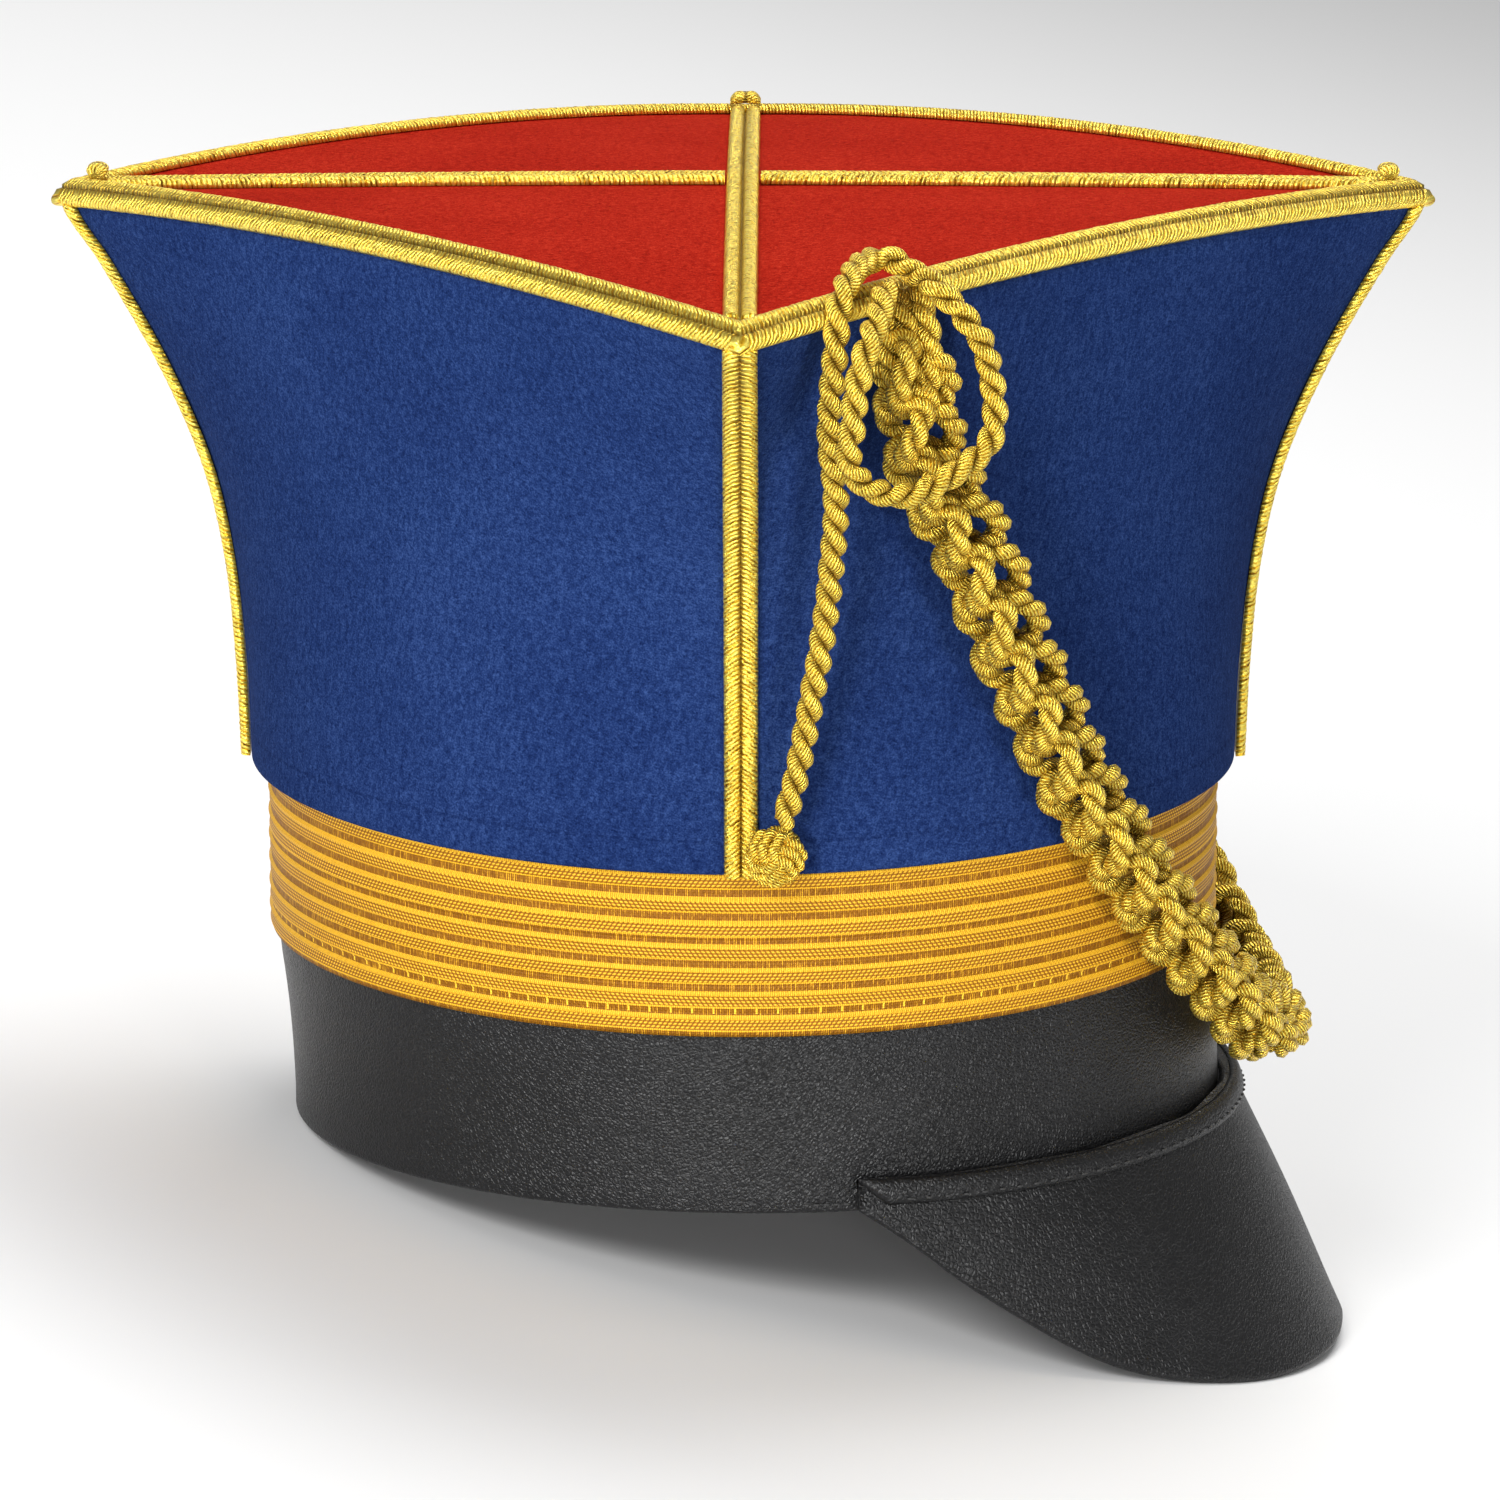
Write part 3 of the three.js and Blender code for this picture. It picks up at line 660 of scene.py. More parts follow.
@dataclass(frozen=True)
class GoldRibbon:
    """Woven ribbon: in each repeat a satin recess, a low edge, a strip of twill and a raised rib. Its colour
    is painted darker where the weave lies lower, as shade.

    The places in a repeat are shares of it. The repeat and the threads' sizes are in millimetres.
    """

    repeat: float
    name: str = "gold_ribbon"
    satin_end: float = 0.30
    edge_end: float = 0.37
    rib_start: float = 0.80
    warp_period: float = 0.42
    dot_width: float = 0.95
    dot_height: float = 0.72
    stitch_repeat: float = 4.1
    depth: float = 0.2 * MM
    stitch_colour: Point = (0.95, 0.58, 0.04)

    def proud(self, share: float) -> float:
        """How proud the weave stands, from the satin recess up to the rib.

        Args:
            share: the place in one repeat.

        Returns:
            The height, as a share of the rib's.
        """
        if share < self.satin_end:
            return 0.12 * math.sin(math.pi * share / self.satin_end)
        if share < self.edge_end:
            return 0.75
        if share < self.rib_start:
            return 0.55
        return 0.6 + 0.4 * math.sin(math.pi * (share - self.rib_start) / (1 - self.rib_start))

    def material(self) -> bpy.types.Material:
        """Makes the ribbon's material.

        Returns:
            The material.
        """
        s = Shader(self.name)
        across, along = s.across_and_along()
        share = s.math("FRACT", s.math("DIVIDE", along, self.repeat))
        order = s.math("FLOOR", s.math("DIVIDE", along, self.repeat))
        lean = s.math("MULTIPLY_ADD", s.math("FRACT", s.math("MULTIPLY", order, 0.5)), 4.0, -1.0)
        fine = s.noise(1.0, 3.0, (2.8, 0.3, 1), on=s.uv)
        satin = s.math("LESS_THAN", share, self.satin_end)
        rib = s.math("GREATER_THAN", share, self.rib_start)
        edge_half = (self.edge_end - self.satin_end) / 2
        edge = s.math("COMPARE", share, self.satin_end + edge_half, edge_half)
        warp = s.wave(across, self.warp_period)
        dots_phase = s.math("MULTIPLY_ADD", s.math("MULTIPLY", along, lean), 0.62, across)
        dots = s.math("MULTIPLY", s.wave(dots_phase, self.dot_width), s.wave(along, self.dot_height))
        # Painted shade: the satin recess is dark brown, the twill is darker between its dots and the rib is
        # darker between its warp threads.
        satin_colour = s.ramp(s.total((warp, 0.25), (fine, 0.85)),
                              (0.38, (0.17, 0.062, 0.001)), (0.66, (0.27, 0.105, 0.001)),
                              (0.76, (0.72, 0.38, 0.018)))
        twill_colour = s.ramp(dots, (0.0, (0.20, 0.075, 0.001)), (0.25, (0.52, 0.23, 0.005)),
                              (0.7, (0.85, 0.49, 0.032)))
        rib_colour = s.ramp(s.total((warp, 0.5), (fine, 0.5)),
                            (0.2, (0.42, 0.17, 0.003)), (0.6, (0.82, 0.46, 0.022)))
        colour = s.blend(satin, twill_colour, satin_colour)
        colour = s.blend(s.math("MAXIMUM", rib, edge), colour, rib_colour)
        in_first = s.math("COMPARE", along, 1.18 * self.repeat, 0.13 * self.repeat)
        stitch_share = s.math("FRACT", s.math("DIVIDE", across, self.stitch_repeat))
        stitch = s.math("MULTIPLY", in_first, s.math("LESS_THAN", stitch_share, 0.09))
        colour = s.blend(stitch, colour, (*self.stitch_colour, 1))
        height = s.math("ADD", s.total((dots, 0.7), (warp, 0.3)), stitch)
        return s.finish(colour, 0.5, s.relief(height, self.depth, 0.9), Metallic=0.15,
                        Specular_IOR_Level=0.2)


@dataclass(frozen=True)
class Leather:
    """Black grained leather, half gloss, with grain cells to a metre and their wander in metres."""

    name: str
    base: Point = (0.0042, 0.0042, 0.0046)
    grain: float = 1150.0
    wander: float = 0.9 * MM
    depth: float = 0.22 * MM
    gloss: float = 0.33

    def material(self) -> bpy.types.Material:
        """Makes the leather's material.

        Returns:
            The material.
        """
        s = Shader(self.name)
        bend = s.add("ShaderNodeVectorMath", operation="MULTIPLY_ADD")
        s.join(s.noise(self.grain * 0.7, output="Color"), bend.inputs[0])
        s.join((self.wander, self.wander, self.wander), bend.inputs[1])
        s.join(s.place, bend.inputs[2])
        cells = s.add("ShaderNodeTexVoronoi", feature="DISTANCE_TO_EDGE")
        s.join(bend.outputs[0], cells.inputs["Vector"])
        cells.inputs["Scale"].default_value = self.grain
        valleys = s.math("MINIMUM", s.math("MULTIPLY", cells.outputs["Distance"], 3.2), 1.0)
        pores = s.noise(self.grain * 1.9, 3.0)
        creases = s.noise(150, 4.0)
        height = s.total((valleys, 0.62), (pores, 0.3), (creases, 1.1))
        wear = s.noise(42, 4.0)
        colour = s.ramp(wear, (0.35, self.base), (0.75, tuple(1.7 * c for c in self.base)))
        roughness = s.math("MULTIPLY_ADD", pores, 0.24, self.gloss - 0.08)
        return s.finish(colour, roughness, s.relief(height, self.depth, 0.9), Specular_IOR_Level=0.32)


@dataclass(frozen=True)
class Thread:
    """Plain sewing thread."""

    name: str
    colour: Point

    def material(self) -> bpy.types.Material:
        """Makes the thread's material.

        Returns:
            The material.
        """
        s = Shader(self.name)
        value = s.noise(2200, 2.0)
        colour = s.ramp(value, (0.3, tuple(0.55 * c for c in self.colour)), (0.7, self.colour))
        return s.finish(colour, 0.6, s.relief(value, 0.1 * MM, 0.5), Sheen_Weight=0.1)


def remap(bm: bmesh.types.BMesh, change: Callable[[Vector], tuple[float, float]]) -> None:
    """Changes a mesh's UV map.

    Args:
        bm: the mesh.
        change: takes an old place on the map to the new one.
    """
    uv = bm.loops.layers.uv.active
    for face in bm.faces:
        for loop in face.loops:
            loop[uv].uv = change(loop[uv].uv)


@dataclass
class Maker:
    """Makes pieces in the hat's frame and lays them where the solids lie."""

    form: HatForm
    pose: HatPose
    weld: float = 0.004

    def mapped(
        self,
        columns: int,
        rows: int,
        place: Callable[[float, float], Vector],
        size: tuple[float, float] = (1.0, 1.0),
        joined: bool = False,
    ) -> bmesh.types.BMesh:
        """A grid whose points are placed by a function.

        Args:
            columns: faces across.
            rows: faces along.
            place: takes a point's shares across and along to its place in the hat's frame.
            size: what the UV map runs to across and along, in millimetres.
            joined: whether edges that meet are joined.

        Returns:
            The mesh, not yet laid down.
        """
        bm = bmesh.new()
        uv = bm.loops.layers.uv.new("UVMap")
        bmesh.ops.create_grid(bm, x_segments=columns, y_segments=rows, size=0.5, calc_uvs=True)
        for face in bm.faces:
            for loop in face.loops:
                co = loop.vert.co
                loop[uv].uv = ((co.x + 0.5) * size[0], (co.y + 0.5) * size[1])
        for vertex in bm.verts:
            vertex.co = place(vertex.co.x + 0.5, vertex.co.y + 0.5)
        if joined:
            bmesh.ops.remove_doubles(bm, verts=bm.verts, dist=self.weld)
        return bm

    def close(self, bm: bmesh.types.BMesh) -> None:
        """Closes the open ends of a tube.

        Args:
            bm: the tube's mesh.
        """
        rim = [edge for edge in bm.edges if edge.is_boundary]
        if rim:
            bmesh.ops.holes_fill(bm, edges=rim, sides=0)

    def piece(
        self,
        name: str,
        bm: bmesh.types.BMesh,
        material: bpy.types.Material,
        slot: str,
        nodes: Sequence[str] = (),
        wall: float = 0.0,
    ) -> bpy.types.Object:
        """Turns a mesh into a finished piece on the hat.

        Args:
            name: the piece's name.
            bm: its mesh in the hat's frame, which is freed.
            material: its finish.
            slot: the name of a material slot; not used.
            nodes: the solids that it stands for.
            wall: the thickness given inwards to an open sheet, in millimetres.

        Returns:
            The piece.
        """
        bmesh.ops.recalc_face_normals(bm, faces=bm.faces)
        self.face_out(bm, wall > 0)
        bmesh.ops.transform(bm, matrix=self.pose.matrix, verts=bm.verts)
        mesh = bpy.data.meshes.new(name)
        bm.to_mesh(mesh)
        bm.free()
        mesh.materials.append(material)
        for polygon in mesh.polygons:
            polygon.use_smooth = True
        made = bpy.data.objects.new(name, mesh)
        bpy.context.scene.collection.objects.link(made)
        if wall > 0:
            thicken = made.modifiers.new("wall", "SOLIDIFY")
            thicken.thickness = wall * MM
            thicken.offset = -1.0
            thicken.use_even_offset = True
        if nodes:
            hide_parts(*nodes)
        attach(made, "root")
        LOG.info("%s: %d faces", name, len(mesh.polygons))
        return made

    def face_out(self, bm: bmesh.types.BMesh, is_sheet: bool) -> None:
        """Turns a closed solid's faces out, or an open sheet's away from the hat's middle.

        Args:
            bm: the mesh.
            is_sheet: whether it is an open sheet.
        """
        if is_sheet:
            middle = Vector((0, 0, self.form.hem_level))
            out = sum(face.normal.dot(face.calc_center_median() - middle) * face.calc_area()
                      for face in bm.faces)
        else:
            out = bm.calc_volume(signed=True)
        if out < 0:
            bmesh.ops.reverse_faces(bm, faces=bm.faces)


class Route:
    """A smooth line through given points, with the way out from the hat along it."""

    between: int = 24

    def __init__(self, points: Sequence[Vector], spacing: float, form: HatForm) -> None:
        """Walks the line at even steps.

        Args:
            points: the chosen points, in millimetres in the hat's frame.
            spacing: the step along the line.
            form: the hat's form, for the way out.
        """
        fine: list[Vector] = []
        for i in range(len(points) - 1):
            before = points[max(i - 1, 0)]
            after = points[min(i + 2, len(points) - 1)]
            for k in range(self.between):
                fine.append(self.spline(before, points[i], points[i + 1], after, k / self.between))
        fine.append(points[-1].copy())
        lengths = [0.0]
        for start, end in zip(fine, fine[1:]):
            lengths.append(lengths[-1] + (end - start).length)
        self.length = lengths[-1]
        count = max(4, round(self.length / spacing))
        self.points: list[Vector] = []
        at = 0
        for i in range(count + 1):
            target = self.length * i / count
            while at < len(fine) - 2 and lengths[at + 1] < target:
                at += 1
            span = max(lengths[at + 1] - lengths[at], 1e-9)
            self.points.append(fine[at].lerp(fine[at + 1], (target - lengths[at]) / span))
        self.step = self.length / count
        self.along = self.directions()
        self.out = self.carried(form.oval_out(self.points[0]))

    @staticmethod
    def spline(before: Vector, start: Vector, end: Vector, after: Vector, t: float) -> Vector:
        """A point on the smooth curve between two of four points."""
        return 0.5 * (
            2 * start + (end - before) * t
            + (2 * before - 5 * start + 4 * end - after) * t * t
            + (3 * start - before - 3 * end + after) * t * t * t
        )

    def directions(self) -> list[Vector]:
        """The line's direction at each of its points."""
        last = len(self.points) - 1
        return [
            (self.points[min(i + 1, last)] - self.points[max(i - 1, 0)]).normalized()
            for i in range(last + 1)
        ]

    def carried(self, first: Vector) -> list[Vector]:
        """Carries a direction along the line without twist, square to it.

        Args:
            first: the direction at the line's start.

        Returns:
            The direction at each point.
        """
        way = (first - self.along[0] * first.dot(self.along[0])).normalized()
        ways = [way]
        for before, after in zip(self.along, self.along[1:]):
            way = before.rotation_difference(after) @ way
            way = (way - after * way.dot(after)).normalized()
            ways.append(way)
        return ways

    def face(self, outward: Callable[[Vector], Vector]) -> None:
        """Turns the way out to one that depends on the place.

        Args:
            outward: takes a place to its way out.
        """
        self.out = []
        for point, along in zip(self.points, self.along):
            way = outward(point)
            self.out.append((way - along * way.dot(along)).normalized())

    def beside(self, index: int, across: float, out: float) -> Vector:
        """A point beside one of the line's points, at a distance across and out."""
        way = self.out[index]
        return self.points[index] + self.along[index].cross(way) * across + way * out

    def search(self) -> kdtree.KDTree:
        """Makes the line's points ready to be searched by place.

        Returns:
            The search tree.
        """
        tree = kdtree.KDTree(len(self.points))
        for index, point in enumerate(self.points):
            tree.insert(point, index)
        tree.balance()
        return tree


@dataclass
class Strand:
    """A tube of wrapped cord along a line, a little slimmer at its last two points."""

    diameter: float
    sides: int = 8
    slimmer: tuple[float, ...] = (0.72, 0.93)

    def mesh(self, maker: Maker, route: Route) -> bmesh.types.BMesh:
        """Makes the tube, its UV map in millimetres round it and along it.

        Args:
            maker: the maker of meshes.
            route: the tube's line.

        Returns:
            The mesh.
        """
        last = len(route.points) - 1

        def place(u: float, v: float) -> Vector:
            """The tube's point at shares round it and along it."""
            index = min(last, round(v * last))
            end = min(index, last - index)
            radius = self.diameter / 2 * (self.slimmer[end] if end < len(self.slimmer) else 1.0)
            turn = 2 * math.pi * u
            return route.beside(index, radius * math.cos(turn), radius * math.sin(turn))

        bm = maker.mapped(self.sides, last, place, (math.pi * self.diameter, route.length), joined=True)
        maker.close(bm)
        return bm


@dataclass
class TwistedRope:
    """Two plies of wrapped cord laid round each other, with painted shade between them."""

    diameter: float
    pitch: float
    step: float
    sides: int = 8
    ply_share: float = 0.56
    start: float = 0.0
    # Reaches, in diameters, for the painted shade between the plies.
    lit_reach: float = 0.43
    painted_shade_depth: float = 0.2

    def plies(self, route: Route, form: HatForm) -> list[Route]:
        """The two plies' own lines.

        Args:
            route: the rope's line.
            form: the hat's form.

        Returns:
            One route for each ply.
        """
        off = self.diameter * (1 - self.ply_share) / 2
        lines = []
        for phase in (0.0, math.pi):
            points = []
            for i in range(len(route.points)):
                turn = self.start + phase + 2 * math.pi * i * route.step / self.pitch
                points.append(route.beside(i, off * math.cos(turn), off * math.sin(turn)))
            lines.append(Route(points, self.step, form))
        return lines

    def mesh(self, maker: Maker, route: Route) -> bmesh.types.BMesh:
        """Makes both plies as one mesh.

        Args:
            maker: the maker of meshes.
            route: the rope's line.

        Returns:
            The mesh.
        """
        ply = Strand(self.diameter * self.ply_share, self.sides)
        middle = route.search()
        whole = bmesh.new()
        for line in self.plies(route, maker.form):
            bm = ply.mesh(maker, line)
            # Painted shade on what lies near the rope's middle, between the plies.
            painted_shade = bm.verts.layers.float.new("painted_shade")
            for vertex in bm.verts:
                reach = middle.find(vertex.co)[2] / self.diameter
                vertex[painted_shade] = min(1.0, max(0.0, (self.lit_reach - reach) / self.painted_shade_depth))
            join(whole, bm)
        return whole


def join(whole: bmesh.types.BMesh, part: bmesh.types.BMesh) -> None:
    """Turns a closed mesh's faces out, adds it to another mesh and frees it.

    Args:
        whole: the mesh that grows.
        part: the mesh that is added.
    """
    bmesh.ops.recalc_face_normals(part, faces=part.faces)
    if part.calc_volume(signed=True) < 0:
        bmesh.ops.reverse_faces(part, faces=part.faces)
    passing = bpy.data.meshes.new("passing")
    part.to_mesh(passing)
    part.free()
    whole.from_mesh(passing)
    bpy.data.meshes.remove(passing)


@dataclass
class HangingCord:
    """The twisted cord from its knot up over the rim, round its loop and back to the rim."""

    maker: Maker
    material: bpy.types.Material
    knot: bpy.types.Object
    diameter: float = 5.5
    pitch: float = 10.9
    start: float = 0.6
    step: float = 0.6
    ply_step: float = 0.55
    points: tuple[Point, ...] = (
        (8.7, -100.6, 86.1), (11.5, -103.9, 97.8), (14.2, -107.6, 113.1), (16.7, -111.7, 128.6),
        (18.3, -116.7, 144.0), (19.0, -121.5, 157.0), (17.7, -128.6, 172.3), (18.6, -134.2, 188.4),
        (19.5, -133.3, 199.1), (21.4, -128.5, 202.5), (23.0, -122.7, 204.0), (25.3, -117.1, 204.3),
        (27.5, -115.0, 204.6), (30.2, -115.2, 204.2), (33.0, -115.1, 202.6), (35.5, -117.1, 200.9),
        (38.0, -121.8, 200.3), (41.8, -122.7, 196.8), (45.5, -124.8, 192.6), (48.1, -123.4, 188.4),
        (49.5, -121.2, 182.2), (50.3, -120.6, 176.5), (50.1, -120.6, 170.9), (47.8, -122.1, 166.9),
        (43.4, -124.8, 164.1), (38.8, -126.7, 161.3), (34.2, -128.9, 159.8), (28.4, -132.3, 160.6),
        (23.5, -135.8, 164.0), (21.3, -138.5, 169.4), (22.0, -140.2, 175.0), (22.5, -141.2, 180.6),
        (23.8, -142.5, 188.2), (25.6, -139.9, 193.4), (27.6, -132.3, 198.1), (28.5, -127.3, 200.7),
    )

    def build(self) -> None:
        maker = self.maker
        route = Route([Vector(point) for point in self.points], self.step, maker.form)
        rope = TwistedRope(self.diameter, self.pitch, self.ply_step, sides=10, start=self.start)
        bm = rope.mesh(maker, route)
        made = maker.piece("twisted_cord_strands", bm, self.material, "gilt_cord", ["twisted_cord"])
        path = [tuple(maker.pose.matrix @ point) for point in reversed(route.points)]
        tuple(path[0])


@dataclass
class Knot:
    """The cord's knot: three sets of three turns of wrapped cord, each set round the next.

    Its middle, width, depth and strand are in millimetres. The other lengths are shares of half its
    width: how far apart a set's turns lie, how wide a turn is and how big the core is.
    """

    maker: Maker
    material: bpy.types.Material
    middle: Point = (7.0, -99.3, 78.8)
    width: float = 13.0
    depth: float = 9.0
    strand: float = 2.3
    step: float = 0.5
    turns: int = 3
    turn_points: int = 36
    apart: float = 0.44
    short: float = 0.6
    outer_smaller: float = 0.16
    long_swell: float = 0.12
    short_swell: float = 0.3
    core: float = 0.74
    roll: float = math.radians(12)

    def ring(self, axis: int, shift: float) -> list[Vector]:
        """One turn of the cord, a rounded oblong square to an axis.

        Args:
            axis: which of the knot's three axes.
            shift: how far along it, from -1 to 1.

        Returns:
            The turn's points in a ball of radius 1.
        """
        points = []
        size = math.sqrt(1 - self.outer_smaller * shift * shift)
        for i in range(self.turn_points + 1):
            turn = 2 * math.pi * i / self.turn_points
            long = size * (1 + self.long_swell * math.sin(2 * turn) ** 2)
            short = size * self.short * (1 + self.short_swell * math.cos(turn) ** 2)
            spot = [0.0, 0.0, 0.0]
            spot[axis] = shift * self.apart
            spot[(axis + 1) % 3] = long * math.cos(turn)
            spot[(axis + 2) % 3] = short * math.sin(turn)
            points.append(Vector(spot))
        return points

    def build(self) -> bpy.types.Object:
        """Makes the knot.

        Returns:
            The piece.
        """
        maker = self.maker
        middle = Vector(self.middle)
        out = maker.form.oval_out(middle)
        side = UP.cross(out).normalized()
        corner = Vector((1, 1, 1)).rotation_difference(UP).to_matrix()
        turned = Matrix.Rotation(self.roll, 3, "Z") @ corner
        reach = (self.width - self.strand) / 2
        basis = Matrix((side * reach, UP * reach, out * reach * self.depth / self.width)).transposed()
        whole = bmesh.new()
        for axis in range(3):
            for k in range(self.turns):
                shift = 2 * k / (self.turns - 1) - 1
                points = [middle + basis @ (turned @ point) for point in self.ring(axis, shift)]
                join(whole, Strand(self.strand).mesh(maker, Route(points, self.step, maker.form)))
        core = bmesh.new()
        uv = core.loops.layers.uv.new("UVMap")
        bmesh.ops.create_uvsphere(core, u_segments=24, v_segments=14, radius=self.core)
        for face in core.faces:
            for loop in face.loops:
                loop[uv].uv = (loop.vert.co.x * reach, loop.vert.co.y * reach)
        bmesh.ops.transform(core, matrix=Matrix.Translation(middle) @ basis.to_4x4(), verts=core.verts)
        join(whole, core)
        return maker.piece("knot_of_cord", whole, self.material, "gilt_cord", ["cord_knot"])


@dataclass
class Festoon:
    """The plaited festoon: one cord chained through its own loops, hung round the front.

    The points of a loop are in cord diameters across and out, and in stitches along. Those of a root
    are in cord diameters down, across and out.
    """

    maker: Maker
    material: bpy.types.Material
    width: float = 17.0
    depth: float = 10.0
    # Reaches for the painted shade deep in the plait, as shares of its half width and half depth.
    lit_reach: float = 0.86
    painted_shade_depth: float = 0.5
    cord: float = 5.3
    pitch: float = 9.8
    stitch: float = 12.2
    turn: float = math.radians(40)
    squeeze: float = 0.74
    lift: float = 0.25
    skew: float = 0.16
    step: float = 0.25
    cord_step: float = 0.8
    ply_step: float = 0.95
    right_half: tuple[Point, ...] = (
        (32.6, -119.8, 189.9), (33.7, -120.5, 184.3), (35.4, -119.2, 177.0), (37.0, -115.8, 165.8),
        (41.4, -112.0, 155.5), (47.3, -107.1, 143.9), (52.3, -102.9, 131.0), (56.6, -98.5, 119.3),
        (61.9, -93.1, 108.3), (67.9, -86.0, 93.5), (76.0, -77.3, 79.5), (84.8, -67.9, 64.2),
        (93.6, -57.9, 50.9), (102.8, -44.2, 37.2), (110.9, -25.5, 24.3), (115.0, 0.0, 21.0),
    )
    loop: tuple[Point, ...] = (
        (-0.40, -0.02, -0.25), (-0.46, 0.20, 0.42), (-0.88, 0.44, 0.66), (-1.24, 0.76, 0.52),
        (-1.30, 1.02, 0.0), (-0.80, 1.20, -0.50), (0.0, 1.24, -0.62), (0.86, 1.10, -0.40),
        (1.24, 0.84, 0.30), (1.00, 0.50, 0.66), (0.54, 0.20, 0.42), (0.42, -0.02, -0.30),
        (0.30, 0.00, -1.30), (0.05, 0.40, -1.80), (-0.30, 0.74, -1.42),
    )
    root: tuple[Point, ...] = (
        (-1.52, 0.66, -0.72), (-1.3, 0.72, -0.1), (-0.5, 0.82, 0.36), (0.7, 0.78, 0.3),
        (1.7, 0.6, 0.05), (2.7, 0.4, -0.2),
    )

    def chain(self, route: Route) -> list[Vector]:
        """The cord's own line, looping through itself along the festoon.

        Args:
            route: the festoon's middle line.

        Returns:
            The line's points.
        """
        reach = max(along for _, along, _ in self.loop)
        stitches = round(route.length / self.stitch - reach)
        stitch = route.length / (stitches + reach)
        cos, sin = math.cos(self.turn), math.sin(self.turn)
        last = len(route.points) - 1
        points = []
        for k in range(stitches + 1):
            for across, along, out in self.loop:
                slid = k + along - self.skew * across
                index = min(last, max(0, round(slid * stitch / route.step)))
                rolled = across * cos - out * sin
                raised = (across * sin + out * cos) * self.squeeze + self.lift
                points.append(route.beside(index, rolled * self.cord, raised * self.cord))
        return points

    def shade_inside(self, bm: bmesh.types.BMesh, route: Route) -> None:
        """Marks painted shade on what lies deep in the plait, for its finish to darken.

        Args:
            bm: the plait's mesh.
            route: the festoon's middle line.
        """
        painted_shade = bm.verts.layers.float["painted_shade"]
        middle = route.search()
        for vertex in bm.verts:
            point, index, _ = middle.find(vertex.co)
            off = vertex.co - point
            out = off.dot(route.out[index])
            across = off.dot(route.along[index].cross(route.out[index]))
            reach = math.hypot(across / (self.width / 2), out / (self.depth / 2))
            vertex[painted_shade] = max(vertex[painted_shade], min(1.0, (self.lit_reach - reach) / self.painted_shade_depth))

    def roots(self, route: Route) -> list[Route]:
        """The cords that lead from the rim into each end of the plait.

        Args:
            route: the festoon's middle line.

        Returns:
            One short line for each cord.
        """
        lines = []
        last = len(route.points) - 1
        for index, way in ((0, 1.0), (last, -1.0)):
            for beside in (-1.0, 0.0, 1.0):
                points = []
                for down, across, out in self.root:
                    point = route.beside(index, across * beside * self.cord, out * self.cord)
                    points.append(point + route.along[index] * (way * down * self.cord))
                lines.append(Route(points, self.cord_step, self.maker.form))
        return lines

    def build(self) -> None:
        maker = self.maker
        right = [Vector(point) for point in self.right_half]
        left = [Vector((point.x, -point.y, point.z)) for point in reversed(right[:-1])]
        route = Route(right + left, self.step, maker.form)
        route.face(maker.form.oval_out)
        line = Route(self.chain(route), self.cord_step, maker.form)
        rope = TwistedRope(self.cord, self.pitch, self.ply_step, sides=7, ply_share=0.6)
        bm = rope.mesh(maker, line)
        for root in self.roots(route):
            join(bm, rope.mesh(maker, root))
        self.shade_inside(bm, route)
        made = maker.piece("festoon_strands", bm, self.material, "gilt_cord", ["plaited_festoon"])
        path = [tuple(maker.pose.matrix @ point) for point in route.points]
        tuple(path[0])
        LOG.info("festoon cord: %.0f mm in a festoon of %.0f mm", line.length, route.length)


